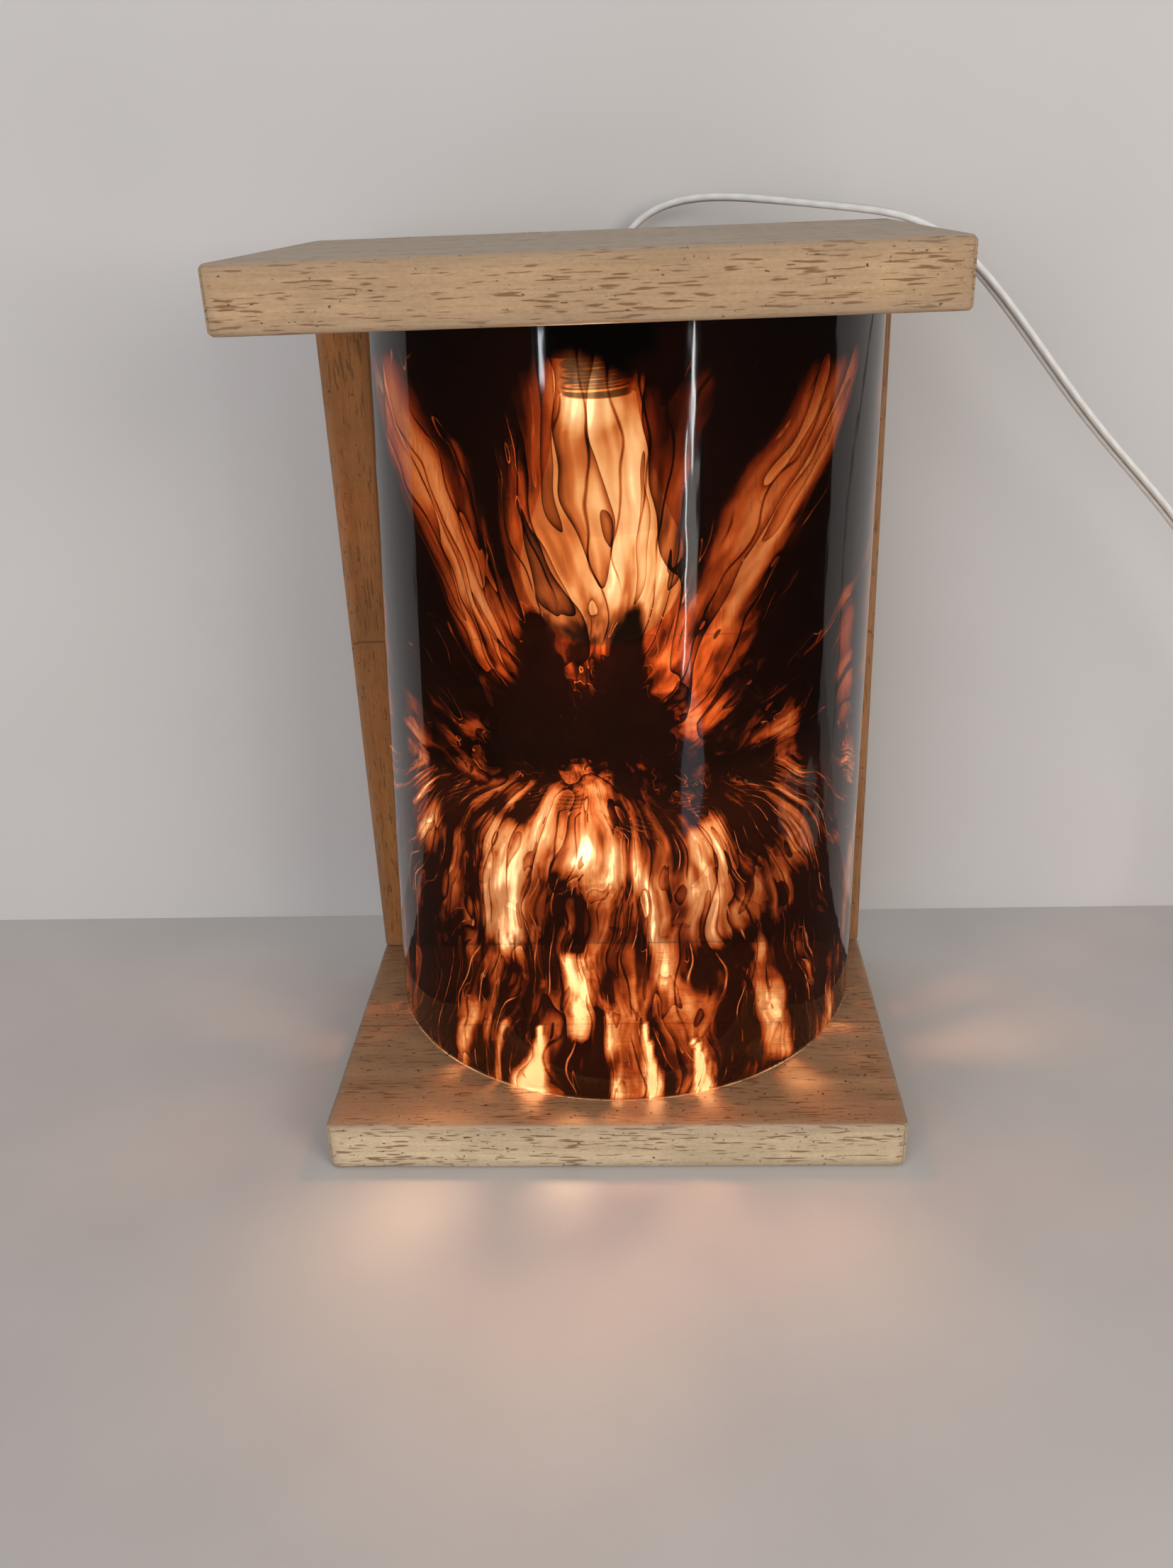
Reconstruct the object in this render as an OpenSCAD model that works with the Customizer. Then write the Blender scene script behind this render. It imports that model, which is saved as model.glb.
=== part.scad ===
// Table lamp: a curved shell of cast epoxy resin stands between wooden boards and hides a lit bulb.
// Millimetres, +Z up, front towards -Y, origin at the middle of the base board's underside.

/* [Boards] */
// Width of the base, back and top boards
board_w = 220; // [212:1:260]
// Thickness of the three boards
board_t = 20; // [16:1:26]
// Depth of the base board, front to back
base_d = 150; // [146:1:190]
// Clear height between the base and the top board
chamber_h = 286; // [250:1:330]
// How far the top board stands out ahead of the base
top_overhang = 2; // [0:0.5:10]
// Rounding of the boards' upright corners
corner_r = 2.5; // [0.5:0.5:6]

/* [Resin shell] */
// Outer radius of the shell where it stands on the base
shell_r_bottom = 99; // [94:0.5:102]
// Outer radius of the shell under the top board
shell_r_top = 94; // [90:0.5:100]
// Wall of the shell
shell_wall = 5; // [3:0.5:8]
// How far right of the middle the shell stands on the base
shell_x_bottom = 2.5; // [0:0.5:4]
// How far right of the middle the shell ends under the top board
shell_x_top = 9.5; // [0:0.5:12]
// Distance from the shell's axis back to the back board
shell_axis_gap = 16; // [8:1:24]

/* [Board screws] */
// Shank diameter of the wood screws
screw_d = 4; // [3:0.5:5]
// Length of the wood screws
screw_len = 45; // [35:1:60]
// Head diameter of the wood screws
screw_head_d = 8; // [6:0.5:10]
// Height of the countersunk head
screw_head_h = 2.4; // [1.8:0.2:3.4]
// How deep the heads sit below the boards' faces
screw_recess = 0.5; // [0.3:0.1:1.5]
// Distance between neighbouring wood screws
screw_pitch = 50; // [40:1:60]

/* [Lampholder] */
// Distance from the lampholder's axis back to the back board
lamp_gap = 55; // [48:1:58]
// Outer diameter of the lampholder
holder_d = 42; // [40:1:50]
// Height of the lampholder below the top board
holder_h = 16; // [15:0.5:22]
// Thickness of the lampholder's plate under the top board
holder_plate_t = 3; // [2:0.5:4]
// Wall of the brass screw sleeve
sleeve_wall = 0.8; // [0.5:0.1:1]
// Height of the brass screw sleeve
sleeve_h = 10; // [7:0.5:12]
// Width of the terminal bay behind the lampholder
bay_w = 20; // [18:1:26]
// Depth of the terminal bay, measured from the lampholder's axis
bay_reach = 33; // [31:0.5:40]
// Floor and walls of the terminal bay
bay_wall = 2; // [1.5:0.5:3]
// Width of one terminal block
terminal_w = 5.2; // [4:0.2:6]
// Length of one terminal block
terminal_l = 8; // [6:0.5:9]
// Height of the terminal blocks
terminal_h = 8.4; // [6:0.2:9]
// Gap between the two terminal blocks
terminal_gap = 1.6; // [1:0.2:3]
// Thread diameter of the terminal screws
terminal_screw_d = 3; // [2:0.5:3]
// Thickness of the brass contact strips
strip_t = 0.5; // [0.3:0.1:0.8]
// Width of the brass contact strips
strip_w = 5; // [3:0.5:6]
// Shank diameter of the lampholder's screws
holder_screw_d = 3; // [2.5:0.5:3.5]
// Head diameter of the lampholder's screws
holder_screw_head_d = 5; // [4.5:0.1:5.4]
// Distance from the lampholder's axis to its screws
holder_screw_reach = 17.8; // [17.6:0.1:18.2]
// How far the lampholder's screws go into the top board
holder_screw_bite = 12; // [8:1:14]

/* [Bulb] */
// Diameter of the bulb's globe
bulb_d = 60; // [50:1:70]
// Length of the bulb from its contact to the bottom of its globe
bulb_len = 115.5; // [105:0.5:130]
// Outer diameter of the bulb's screw cap, over its thread
cap_d = 26.4; // [26.0:0.1:26.6]
// Length of the screw cap's thread
cap_len = 21; // [18:0.5:24]
// Pitch of the screw cap's thread
thread_pitch = 3.63; // [3.4:0.01:3.8]
// Depth of the screw cap's thread
thread_depth = 1; // [0.6:0.1:1.2]
// Wall of the screw cap
cap_wall = 0.5; // [0.3:0.1:0.8]
// Diameter of the bulb's housing where it meets the cap
neck_d = 27.2; // [27:0.1:30]
// Height from the globe's middle up to its joint with the housing
globe_joint = 16; // [12:0.5:19]
// Wall of the housing
housing_wall = 2; // [1.2:0.1:2.5]
// Wall of the globe
globe_wall = 1.5; // [1:0.1:2]
// Thickness of the boards inside the bulb
circuit_t = 1.6; // [1:0.2:2]
// Number of light chips on the light board
chip_count = 8; // [4:1:12]

/* [Cord] */
// Width of the flat twin cord
cord_w = 5; // [4.4:0.1:5.4]
// Thickness of the flat twin cord
cord_t = 2.8; // [2.2:0.1:3]
// Free space all round the cord where it passes through a wall
cord_room = 0.2; // [0.1:0.05:0.3]
// Depth of the cord's path below the top board
cord_drop = 9.5; // [8.5:0.5:10.5]
// Diameter of the cord bush inside the back board
bush_d = 9; // [8:0.5:12]
// Diameter of the cord bush's flange
bush_flange_d = 15; // [13:0.5:18]
// Thickness of the cord bush's flange
bush_flange_t = 2; // [1.5:0.5:4]
// Length of the bush's taper behind its flange
bush_taper = 8; // [6:0.5:20]
// Diameter of the bush's taper at its narrow end
bush_end_d = 7.6; // [7:0.1:9]
// Radius of the coil's outer turn
coil_r = 35; // [33:0.5:37]
// Turns in each of the coil's two layers
coil_turns = 2.5; // [1.5:1:2.5]
// Distance between neighbouring turns of one layer
coil_pitch = 4.4; // [4.2:0.1:4.8]
// Thickness of the band that ties the coil
tie_t = 0.8; // [0.6:0.1:1.2]
// Width of the band that ties the coil
tie_w = 6; // [4:0.5:8]

/* [Switch] */
// Length of the cord switch
switch_len = 60; // [54:1:66]
// Width of the cord switch
switch_w = 26; // [24:0.5:28]
// Height of the cord switch
switch_h = 19; // [18:0.5:22]
// Height of the joint between the switch's two halves
switch_split = 8; // [7:0.5:9]
// Wall of the switch's halves
switch_wall = 1.8; // [1.4:0.1:2.2]
// Length of the rocker
rocker_len = 19; // [16:0.5:20]
// Width of the rocker
rocker_w = 10.6; // [9:0.1:11]
// Tilt of the rocker each way from level
rocker_tilt = 8; // [5:0.5:10]
// Diameter of the rocker's pivot pins
pivot_d = 3; // [2.5:0.1:3.2]
// How far the cord's end reaches into the switch
wire_in = 4; // [3:0.5:5]

/* [Plug] */
// Length of the plug's body
plug_len = 36; // [32:1:40]
// Width of the plug's body at its face
plug_w = 34; // [32:1:36]
// Height of the plug's body
plug_h = 13.5; // [12:0.5:15]
// Length of the tapered boot behind the plug
boot_len = 25; // [20:1:30]
// Diameter of the plug's pins
pin_d = 4; // [4:0.1:4.8]
// Free length of the plug's pins
pin_len = 19; // [18:0.5:19.5]
// Distance between the middles of the plug's pins
pin_pitch = 19; // [18:0.1:19.2]

/* [Clearances] */
// Gap round a screw, pin or bush in its hole
fit = 0.05; // [0.03:0.01:0.1]
// Gap between faces that move past each other
running_gap = 0.3; // [0.2:0.05:0.4]

/* [Hidden] */
$fn = 72;
over = 1;

// The boards' faces that the other pieces are set out from
rear_y = base_d / 2;
back_face_y = rear_y - board_t;
back_mid_y = rear_y - board_t / 2;
top_z = board_t + chamber_h;
screw_xs = [-1.5 * screw_pitch, -0.5 * screw_pitch, 0.5 * screw_pitch, 1.5 * screw_pitch];

// The shell leans and narrows from the base to the top board
shell_y = back_face_y - shell_axis_gap;
shell_lean = atan((shell_x_top - shell_x_bottom) / chamber_h);
shell_slant = chamber_h / cos(shell_lean);
shell_slope = (shell_r_bottom - shell_r_top) / shell_slant;

// Heights of the lampholder and the bulb, from the top board down
lamp_y = back_face_y - lamp_gap;
holder_z = top_z - holder_h;
plate_z = top_z - holder_plate_t;
dimple_h = 0.8;
dimple_r = 2.5;
sleeve_in_r = cap_d / 2 + running_gap;
sleeve_r = sleeve_in_r + sleeve_wall;
sleeve_top = plate_z - strip_t - 1.2;
terminal_y = 20;
terminal_top = holder_z + bay_wall + terminal_h;
strip_x = terminal_gap / 2 + terminal_w / 2;
tip_z = plate_z - strip_t - dimple_h - running_gap;
tip_h = 1.5;
tip_r = 4.5;
insulator_h = 3;
insulator_r = 8;
cap_top = tip_z - tip_h - insulator_h - fit;
cap_rim = cap_top - cap_len;
globe_r = bulb_d / 2;
globe_z = tip_z - bulb_len + globe_r;
joint_z = globe_z + globe_joint;
joint_r = sqrt(globe_r * globe_r - globe_joint * globe_joint);
ledge_t = 1.4;
ledge_w = 5;
chip_h = 0.8;
light_z = joint_z + running_gap + chip_h;
ledge_z = light_z + circuit_t;

// The cord's level path from the lampholder to the bush
cord_z = top_z - cord_drop;
bush_face_y = rear_y + bush_flange_t + bush_taper;
bush_depth = board_t - 6;

// Places of the pieces on the cord: the switch's middle, the coil's middle and the start of the plug's boot
switch_at = [300, 10];
coil_at = [335, -60];
boot_y = -30;
plug_x = coil_at.x + coil_r;
switch_end = switch_at.y - switch_len / 2;
plug_y = boot_y + boot_len;
plug_z = plug_h / 2;

// The coil stands on the band that ties it, with the cord's wide side upright
coil_lift = tie_t + running_gap;
layer_gap = 0.6;
coil_z = coil_lift + cord_w / 2;
layer_h = cord_w + layer_gap;
loop_steps = 24;
climb_start = 48;
climb_end = 132;
stub_len = cord_w;

// The route behind the lamp, over the top board's rear corner and down to the switch: x, y, z and the roll
// of the cord about its own line, which is 0 where its wide side lies level
run_points = [[0, 96, 298, 0], [1.5, 105, 303.5, 0], [4.5, 110.5, 312.5, 0], [9.5, 112.5, 322.5, 0],
    [18, 111, 330, 0], [28.5, 107.5, 334, 5], [40, 102, 335.5, 10], [51.5, 96.5, 335.3, 10],
    [63, 90.5, 334.2, 10], [75, 84.5, 332.8, 5], [87, 78, 331.4, 0], [98, 72.5, 330, 0],
    [108, 67.5, 328.6, 0], [118, 63.5, 325.6, 10], [129, 61, 319.3, 30], [140, 59, 309.5, 45],
    [152, 58, 296, 50], [165, 58, 280, 50], [179, 58, 262.5, 50], [193, 59, 246.5, 50],
    [208, 60, 231, 50], [224, 62, 214.5, 50], [240, 66, 196, 50], [254, 70, 175, 40], [266, 75, 151, 30],
    [277, 80, 123, 20], [286, 83, 93, 10], [293, 84, 64, 0], [298, 80, 39, 0], [300, 70, 20, 0],
    [300, 57, 10.5, 0], [300, 46, 8, 0]];
// The stretch from the switch to the coil, and the stretch from the coil to the plug
link_points = [[300, -28, 7.8, 20], [300, -36, 6.2, 50], [300, -44, 4.4, 80]];
tail_points = [[370, -46, 9, 80], [370, -38, 7.6, 50]];
run_steps = 2;
link_steps = 1;

// The cord's cross-section: eight sides where it runs free and six sides in the coil
cord_profile = [[cord_w / 2, -cord_t / 4], [cord_w / 2, cord_t / 4], [cord_w / 3, cord_t / 2],
    [-cord_w / 3, cord_t / 2], [-cord_w / 2, cord_t / 4], [-cord_w / 2, -cord_t / 4],
    [-cord_w / 3, -cord_t / 2], [cord_w / 3, -cord_t / 2]];
coil_profile = [[cord_w / 2, 0], [cord_w / 3, cord_t / 2], [-cord_w / 3, cord_t / 2], [-cord_w / 2, 0],
    [-cord_w / 3, -cord_t / 2], [cord_w / 3, -cord_t / 2]];

// Heights inside the switch
pivot_z = switch_h - 5.4;
cheek_w = 3;
window_w = rocker_w + 2 * running_gap;
window_l = rocker_len + 2.2;
boss_at = [8, 22];
boss_r = 3;
switch_screw_r = 1.2;
switch_head_r = 2.2;
switch_head_h = 1.4;
contact_size = [7, 6, switch_split + 2 - switch_wall];

function unit(v) = v / norm(v);
function xyz(p) = [p.x, p.y, p.z];

// One point of a cubic B-spline along the route's points, at the share s between b and c
function curve(a, b, c, d, s) =
    (pow(1 - s, 3) * a + (3 * s * s * s - 6 * s * s + 4) * b + (3 * s + 3 * s * s - 3 * s * s * s + 1) * c
        + s * s * s * d) / 6;
// The whole spline, which starts and ends at the route's end points
function smooth_route(p, steps) =
    let (n = len(p) - 1, q = concat([2 * p[0] - p[1]], p, [2 * p[n] - p[n - 1]]))
    concat([for (i = [0 : n - 1], j = [0 : steps - 1])
        curve(q[i], q[i + 1], q[i + 2], q[i + 3], j / steps)], [p[n]]);

// The cord's direction at each point, with both ends square to what they meet
function directions(p, first, last) =
    [for (i = [0 : len(p) - 1])
        i == 0 ? first : i == len(p) - 1 ? last : unit(xyz(p[i + 1]) - xyz(p[i - 1]))];
function ring(p, along, profile) =
    let (side = unit(cross(along, [0, 0, 1])), up = cross(side, along), c = cos(p[3]), s = sin(p[3]))
    [for (q = profile) xyz(p) + side * (q.x * c - q.y * s) + up * (q.x * s + q.y * c)];

module swept_cord(p, first, last, profile) {
    k = len(profile);
    n = len(p) - 1;
    along = directions(p, first, last);
    points = [for (i = [0 : n]) each ring(p[i], along[i], profile)];
    sides = [for (i = [0 : n - 1], j = [0 : k - 1])
        let (a = i * k + j, b = i * k + (j + 1) % k) each [[a, b, b + k], [a, b + k, a + k]]];
    start_cap = [for (j = [1 : k - 2]) [0, j + 1, j]];
    end_cap = [for (j = [1 : k - 2]) [n * k, n * k + j, n * k + j + 1]];
    polyhedron(points = points, faces = concat(sides, start_cap, end_cap), convexity = 10);
}

// The coil: in along the lower layer, up in the half turn where it reverses, and out along the upper layer
coil_in_angle = 360 * coil_turns;
coil_all_angle = 2 * coil_in_angle + 180;
coil_step = 360 / loop_steps;
coil_inner_r = coil_r - coil_pitch * coil_turns;
function ease(s) = s <= 0 ? 0 : s >= 1 ? 1 : s * s * (3 - 2 * s);
function coil_radius(a) =
    let (back = coil_all_angle - a)
    coil_r - coil_pitch * min(a, back) / 360;
function coil_height(a) =
    coil_z + layer_h * ease((a - coil_in_angle - climb_start) / (climb_end - climb_start));
function coil_point(a) =
    let (r = coil_radius(a))
    [coil_at.x + r * cos(180 + a), coil_at.y + r * sin(180 + a), coil_height(a), 90];
coil_angles = [for (a = [0 : coil_step : coil_all_angle]) a];
coil_first = coil_point(0);
coil_last = coil_point(coil_all_angle);
coil_route = concat([coil_first + [0, stub_len, 0, 0]], [for (a = coil_angles) coil_point(a)],
    [coil_last + [0, stub_len, 0, 0]]);
coil_gap = min([for (a = coil_angles, b = [a + 360 : 360 : coil_all_angle])
    max(abs(coil_radius(a) - coil_radius(b)) - cord_t, abs(coil_height(a) - coil_height(b)) - cord_w)]);
echo(least_gap_of_the_coil_to_itself = coil_gap);

// The routes with their ends taken from the pieces that they meet
run_route = smooth_route(concat([[0, bush_face_y, cord_z, 0]], run_points,
    [[switch_at.x, switch_at.y + switch_len / 2 - wire_in, switch_split, 0]]), run_steps);
link_route = smooth_route(concat([[switch_at.x, switch_end + wire_in, switch_split, 0]], link_points,
    [coil_route[0]]), link_steps);
tail_route = smooth_route(concat([coil_route[len(coil_route) - 1]], tail_points,
    [[plug_x, boot_y, plug_z, 0]]), link_steps);

module rounded_rect(w, d, r) {
    square([w - 2 * r, d], center = true);
    square([w, d - 2 * r], center = true);
    for (x = [-1, 1], y = [-1, 1])
        translate([x * (w / 2 - r), y * (d / 2 - r)]) circle(r = r);
}

module slab(x0, x1, y0, y1, z0, z1) {
    translate([x0, y0, z0]) cube([x1 - x0, y1 - y0, z1 - z0]);
}

// A screw along +Z with its head's face at the origin: gap is the clearance of its hole, and deep is how far
// the hole goes on ahead of the head
module wood_screw(gap, deep) {
    head_r = screw_head_d / 2 + gap;
    shank_r = screw_d / 2 + gap;
    point = screw_len - screw_d;
    rotate_extrude()
        polygon([[0, -deep], [head_r, -deep], [head_r, 0], [shank_r, screw_head_h], [shank_r, point],
            [0, screw_len + gap]]);
}

module each_board_screw() {
    for (x = screw_xs) {
        translate([x, back_mid_y, screw_recess]) children();
        translate([x, back_mid_y, top_z + board_t - screw_recess]) mirror([0, 0, 1]) children();
    }
}

module board_screw_holes() {
    each_board_screw() wood_screw(fit, screw_recess + over);
}

module base_board() {
    color("burlywood") difference() {
        linear_extrude(board_t) rounded_rect(board_w, base_d, corner_r);
        board_screw_holes();
    }
}

module back_board() {
    color("peru") difference() {
        translate([0, back_mid_y, board_t])
            linear_extrude(chamber_h) rounded_rect(board_w, board_t, corner_r);
        board_screw_holes();
        translate([0, back_face_y - over, cord_z]) rotate([-90, 0, 0])
            cylinder(h = board_t + 2 * over, d = bush_d + 2 * fit);
    }
}

module top_board() {
    color("burlywood") difference() {
        translate([0, -top_overhang / 2, top_z])
            linear_extrude(board_t) rounded_rect(board_w, base_d + top_overhang, corner_r);
        board_screw_holes();
        holder_screw_holes();
    }
}

module leaning_cone(inset) {
    translate([shell_x_bottom, shell_y, board_t]) rotate([0, shell_lean, 0]) translate([0, 0, -board_t])
        cylinder(h = shell_slant + 2 * board_t, r1 = shell_r_bottom - inset + shell_slope * board_t,
            r2 = shell_r_top - inset - shell_slope * board_t, $fn = 180);
}

module resin_shell() {
    color("#3a1c0e") intersection() {
        difference() {
            leaning_cone(0);
            leaning_cone(shell_wall);
        }
        slab(-board_w, board_w, shell_y - board_w, back_face_y, board_t, top_z);
    }
}

module board_screws() {
    color("gray") each_board_screw() wood_screw(0, 0);
}

// The lampholder's two screws, each along +Z from its head up into the top board
holder_head_h = 2;
holder_screw_z = holder_z + holder_head_h + 1;
module each_holder_screw() {
    for (x = [-1, 1]) translate([x * holder_screw_reach, lamp_y, holder_screw_z]) children();
}

module holder_screw_holes() {
    each_holder_screw() {
        cylinder(h = top_z - holder_screw_z + holder_screw_bite + fit, d = holder_screw_d + 2 * fit);
        translate([0, 0, -holder_h]) cylinder(h = holder_h, d = holder_screw_head_d + 2 * fit);
    }
}

module lampholder_screws() {
    color("silver") each_holder_screw() {
        cylinder(h = top_z - holder_screw_z + holder_screw_bite, d = holder_screw_d);
        translate([0, 0, -holder_head_h]) cylinder(h = holder_head_h, d = holder_screw_head_d);
    }
}

module each_terminal() {
    for (x = [-1, 1]) translate([x * strip_x, lamp_y + terminal_y + terminal_l / 2, holder_z]) children();
}

module cord_hole(length) {
    rotate([-90, 0, 0]) linear_extrude(length)
        square([cord_w + 2 * cord_room, cord_t + 2 * cord_room], center = true);
}

module lampholder_body() {
    bay_inside = bay_w / 2 - bay_wall;
    terminal_front = lamp_y + terminal_y - running_gap;
    color("#181818") difference() {
        union() {
            translate([0, lamp_y, holder_z]) cylinder(h = holder_h, d = holder_d);
            slab(-bay_w / 2, bay_w / 2, lamp_y, lamp_y + bay_reach, holder_z, top_z);
        }
        translate([0, lamp_y, holder_z - over])
            cylinder(h = plate_z - holder_z + over, r = sleeve_r + fit);
        slab(-bay_inside, bay_inside, terminal_front, lamp_y + bay_reach - bay_wall,
            holder_z + bay_wall, plate_z);
        slab(-bay_inside, bay_inside, lamp_y + sleeve_in_r / 2, terminal_front + over,
            sleeve_top - strip_t - fit, plate_z);
        translate([0, lamp_y + bay_reach - bay_wall - over, cord_z]) cord_hole(bay_wall + 2 * over);
        each_terminal() translate([0, 0, -over])
            cylinder(h = bay_wall + 2 * over, d = terminal_screw_d + 2 * fit);
        holder_screw_holes();
    }
}

module lampholder_sleeve() {
    color("goldenrod") difference() {
        union() {
            translate([0, lamp_y, sleeve_top - sleeve_h]) cylinder(h = sleeve_h, r = sleeve_r);
            slab(strip_x - strip_w / 2, strip_x + strip_w / 2, lamp_y, lamp_y + terminal_y + strip_w,
                sleeve_top - strip_t, sleeve_top);
            slab(strip_x - strip_w / 2, strip_x + strip_w / 2, lamp_y + terminal_y,
                lamp_y + terminal_y + strip_w, terminal_top, sleeve_top);
        }
        translate([0, lamp_y, sleeve_top - sleeve_h - over])
            cylinder(h = sleeve_h + 2 * over, r = sleeve_in_r);
    }
}

module lampholder_contact() {
    strip_z = plate_z - strip_t;
    color("gold") {
        slab(-strip_w / 2, strip_w / 2, lamp_y - strip_w, lamp_y + 2 * strip_w, strip_z, plate_z);
        slab(-strip_x - strip_w / 2, strip_w / 2, lamp_y + strip_w, lamp_y + 2 * strip_w, strip_z, plate_z);
        slab(-strip_x - strip_w / 2, -strip_x + strip_w / 2, lamp_y + strip_w,
            lamp_y + terminal_y + strip_w, strip_z, plate_z);
        slab(-strip_x - strip_w / 2, -strip_x + strip_w / 2, lamp_y + terminal_y,
            lamp_y + terminal_y + strip_w, terminal_top, plate_z);
        translate([0, lamp_y, strip_z - dimple_h]) cylinder(h = dimple_h, r = dimple_r);
    }
}

module lampholder_terminals() {
    color("goldenrod") each_terminal() difference() {
        translate([-terminal_w / 2, -terminal_l / 2, bay_wall]) cube([terminal_w, terminal_l, terminal_h]);
        cylinder(h = bay_wall + terminal_h / 2, d = terminal_screw_d + 2 * fit);
    }
}

module terminal_screws() {
    color("silver") each_terminal() difference() {
        translate([0, 0, bay_wall / 2])
            cylinder(h = bay_wall / 2 + terminal_h / 2 - fit, d = terminal_screw_d);
        slab(-terminal_screw_d, terminal_screw_d, -0.3, 0.3, 0, bay_wall / 2 + 0.6);
    }
}

module bulb_tip() {
    color("silver") translate([0, lamp_y, tip_z - tip_h]) cylinder(h = tip_h, r = tip_r);
}

module bulb_insulator() {
    color("black") translate([0, lamp_y, tip_z - tip_h - insulator_h])
        cylinder(h = insulator_h, r1 = insulator_r, r2 = tip_r + 1);
}

// The cap's thread is drawn as rings, crest and root in turn
module bulb_cap() {
    crest = cap_d / 2;
    root = crest - thread_depth;
    halves = 2 * floor((cap_len - 4) / thread_pitch);
    outer = [for (i = [0 : halves]) [i % 2 == 0 ? root : crest, cap_rim + 2.5 + i * thread_pitch / 2]];
    inner = [for (i = [halves : -1 : 0]) outer[i] - [cap_wall, 0]];
    color("lightgray") translate([0, lamp_y, 0]) rotate_extrude()
        polygon(concat([[root, cap_rim]], outer, [[root, cap_top], [insulator_r - 1, cap_top],
            [insulator_r - 1, cap_top - cap_wall], [root - cap_wall, cap_top - cap_wall]], inner,
            [[root - cap_wall, cap_rim]]));
}

// The housing flares from the cap down to the globe and carries the light board on a ledge
flare_steps = 12;
function housing_r(z) =
    let (s = (cap_rim - z) / (cap_rim - joint_z))
    neck_d / 2 + (joint_r - neck_d / 2) * pow(s, 1.35);
module bulb_housing() {
    outer = [for (i = [0 : flare_steps])
        let (z = cap_rim + (joint_z - cap_rim) * i / flare_steps) [housing_r(z), z]];
    inner = [for (i = [flare_steps : -1 : 0]) outer[i] - [housing_wall, 0]];
    below = [for (p = inner) if (p.y < ledge_z) p];
    above = [for (p = inner) if (p.y > ledge_z + ledge_t) p];
    ledge_r = housing_r(ledge_z) - housing_wall;
    color("white") translate([0, lamp_y, 0]) rotate_extrude()
        polygon(concat(outer, below, [[ledge_r, ledge_z], [ledge_r - ledge_w, ledge_z],
            [ledge_r - ledge_w, ledge_z + ledge_t], [ledge_r, ledge_z + ledge_t]], above));
}

module bulb_globe() {
    color("ivory") translate([0, lamp_y, globe_z]) difference() {
        sphere(r = globe_r);
        sphere(r = globe_r - globe_wall);
        translate([0, 0, globe_joint]) cylinder(h = globe_r, r = globe_r + over);
    }
}

light_r = housing_r(light_z + circuit_t) - housing_wall - running_gap;
module light_board() {
    color("gainsboro") translate([0, lamp_y, light_z]) cylinder(h = circuit_t, r = light_r);
}

module light_chips() {
    chip = 3.2;
    color("khaki") for (i = [0 : chip_count - 1])
        translate([0, lamp_y, light_z - chip_h / 2]) rotate(360 * i / chip_count)
            translate([light_r * 0.65, 0, 0]) cube([chip, chip, chip_h], center = true);
}

module driver_board() {
    driver_w = 2 * (neck_d / 2 - housing_wall) - 5;
    driver_h = cap_rim - ledge_z - 6;
    part_r = 3.5;
    color("seagreen") translate([0, lamp_y, ledge_z]) {
        slab(-driver_w / 2, driver_w / 2, -circuit_t / 2, circuit_t / 2, 0, driver_h);
        translate([0, 0, driver_h * 0.4]) rotate([90, 0, 0]) cylinder(h = part_r * 2, r = part_r);
        slab(-part_r, part_r, 0, part_r * 1.5, driver_h * 0.55, driver_h * 0.8);
    }
}

module cord_bush() {
    color("#202020") difference() {
        translate([0, rear_y, cord_z]) rotate([-90, 0, 0]) {
            translate([0, 0, -bush_depth]) cylinder(h = bush_depth, d = bush_d);
            cylinder(h = bush_flange_t, d = bush_flange_d);
            translate([0, 0, bush_flange_t]) cylinder(h = bush_taper, d1 = bush_end_d + 4, d2 = bush_end_d);
        }
        translate([0, rear_y - bush_depth - over, cord_z])
            cord_hole(bush_depth + bush_flange_t + bush_taper + 2 * over);
    }
}

module cord_lead() {
    start = lamp_y + terminal_y + terminal_l;
    color("ivory") translate([0, start, cord_z]) rotate([-90, 0, 0])
        linear_extrude(bush_face_y - start) polygon(cord_profile);
}

module cord_run() {
    color("ivory") swept_cord(run_route, [0, 1, 0], [0, -1, 0], cord_profile);
}

module cord_link() {
    color("ivory") swept_cord(link_route, [0, -1, 0], [0, -1, 0], cord_profile);
}

module cord_coil() {
    color("ivory") swept_cord(coil_route, [0, -1, 0], [0, 1, 0], coil_profile);
}

module cord_tail() {
    color("ivory") swept_cord(tail_route, [0, 1, 0], [0, 1, 0], cord_profile);
}

// The band lies round all the turns at the coil's front
module coil_tie() {
    bend_room = tie_w * tie_w / (8 * coil_inner_r);
    half_in = cord_t / 2 + running_gap + bend_room;
    r0 = coil_radius(coil_in_angle - 90) - half_in;
    r1 = coil_radius(90) + half_in;
    top = coil_z + layer_h + cord_w / 2 + running_gap;
    color("black") translate([coil_at.x, coil_at.y, 0]) difference() {
        slab(-tie_w / 2, tie_w / 2, -r1 - tie_t, -r0 + tie_t, 0, top + tie_t);
        slab(-tie_w, tie_w, -r1, -r0, tie_t, top);
    }
}

module switch_plan(inset) {
    rounded_rect(switch_w - 2 * inset, switch_len - 2 * inset, 5 - inset);
}

module each_switch_boss() {
    for (s = [-1, 1]) translate([s * boss_at.x, s * boss_at.y, 0]) children();
}

module switch_screw_holes() {
    each_switch_boss() {
        translate([0, 0, -over]) cylinder(h = switch_h - switch_wall + over, r = switch_screw_r + fit);
        translate([0, 0, -over]) cylinder(h = switch_head_h + 0.4 + over, r = switch_head_r + fit);
    }
}

module switch_cord_holes() {
    for (y = [-1, 1]) translate([0, y * (switch_len / 2 - switch_wall / 2) - 2 * over, switch_split])
        cord_hole(4 * over);
}

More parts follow.
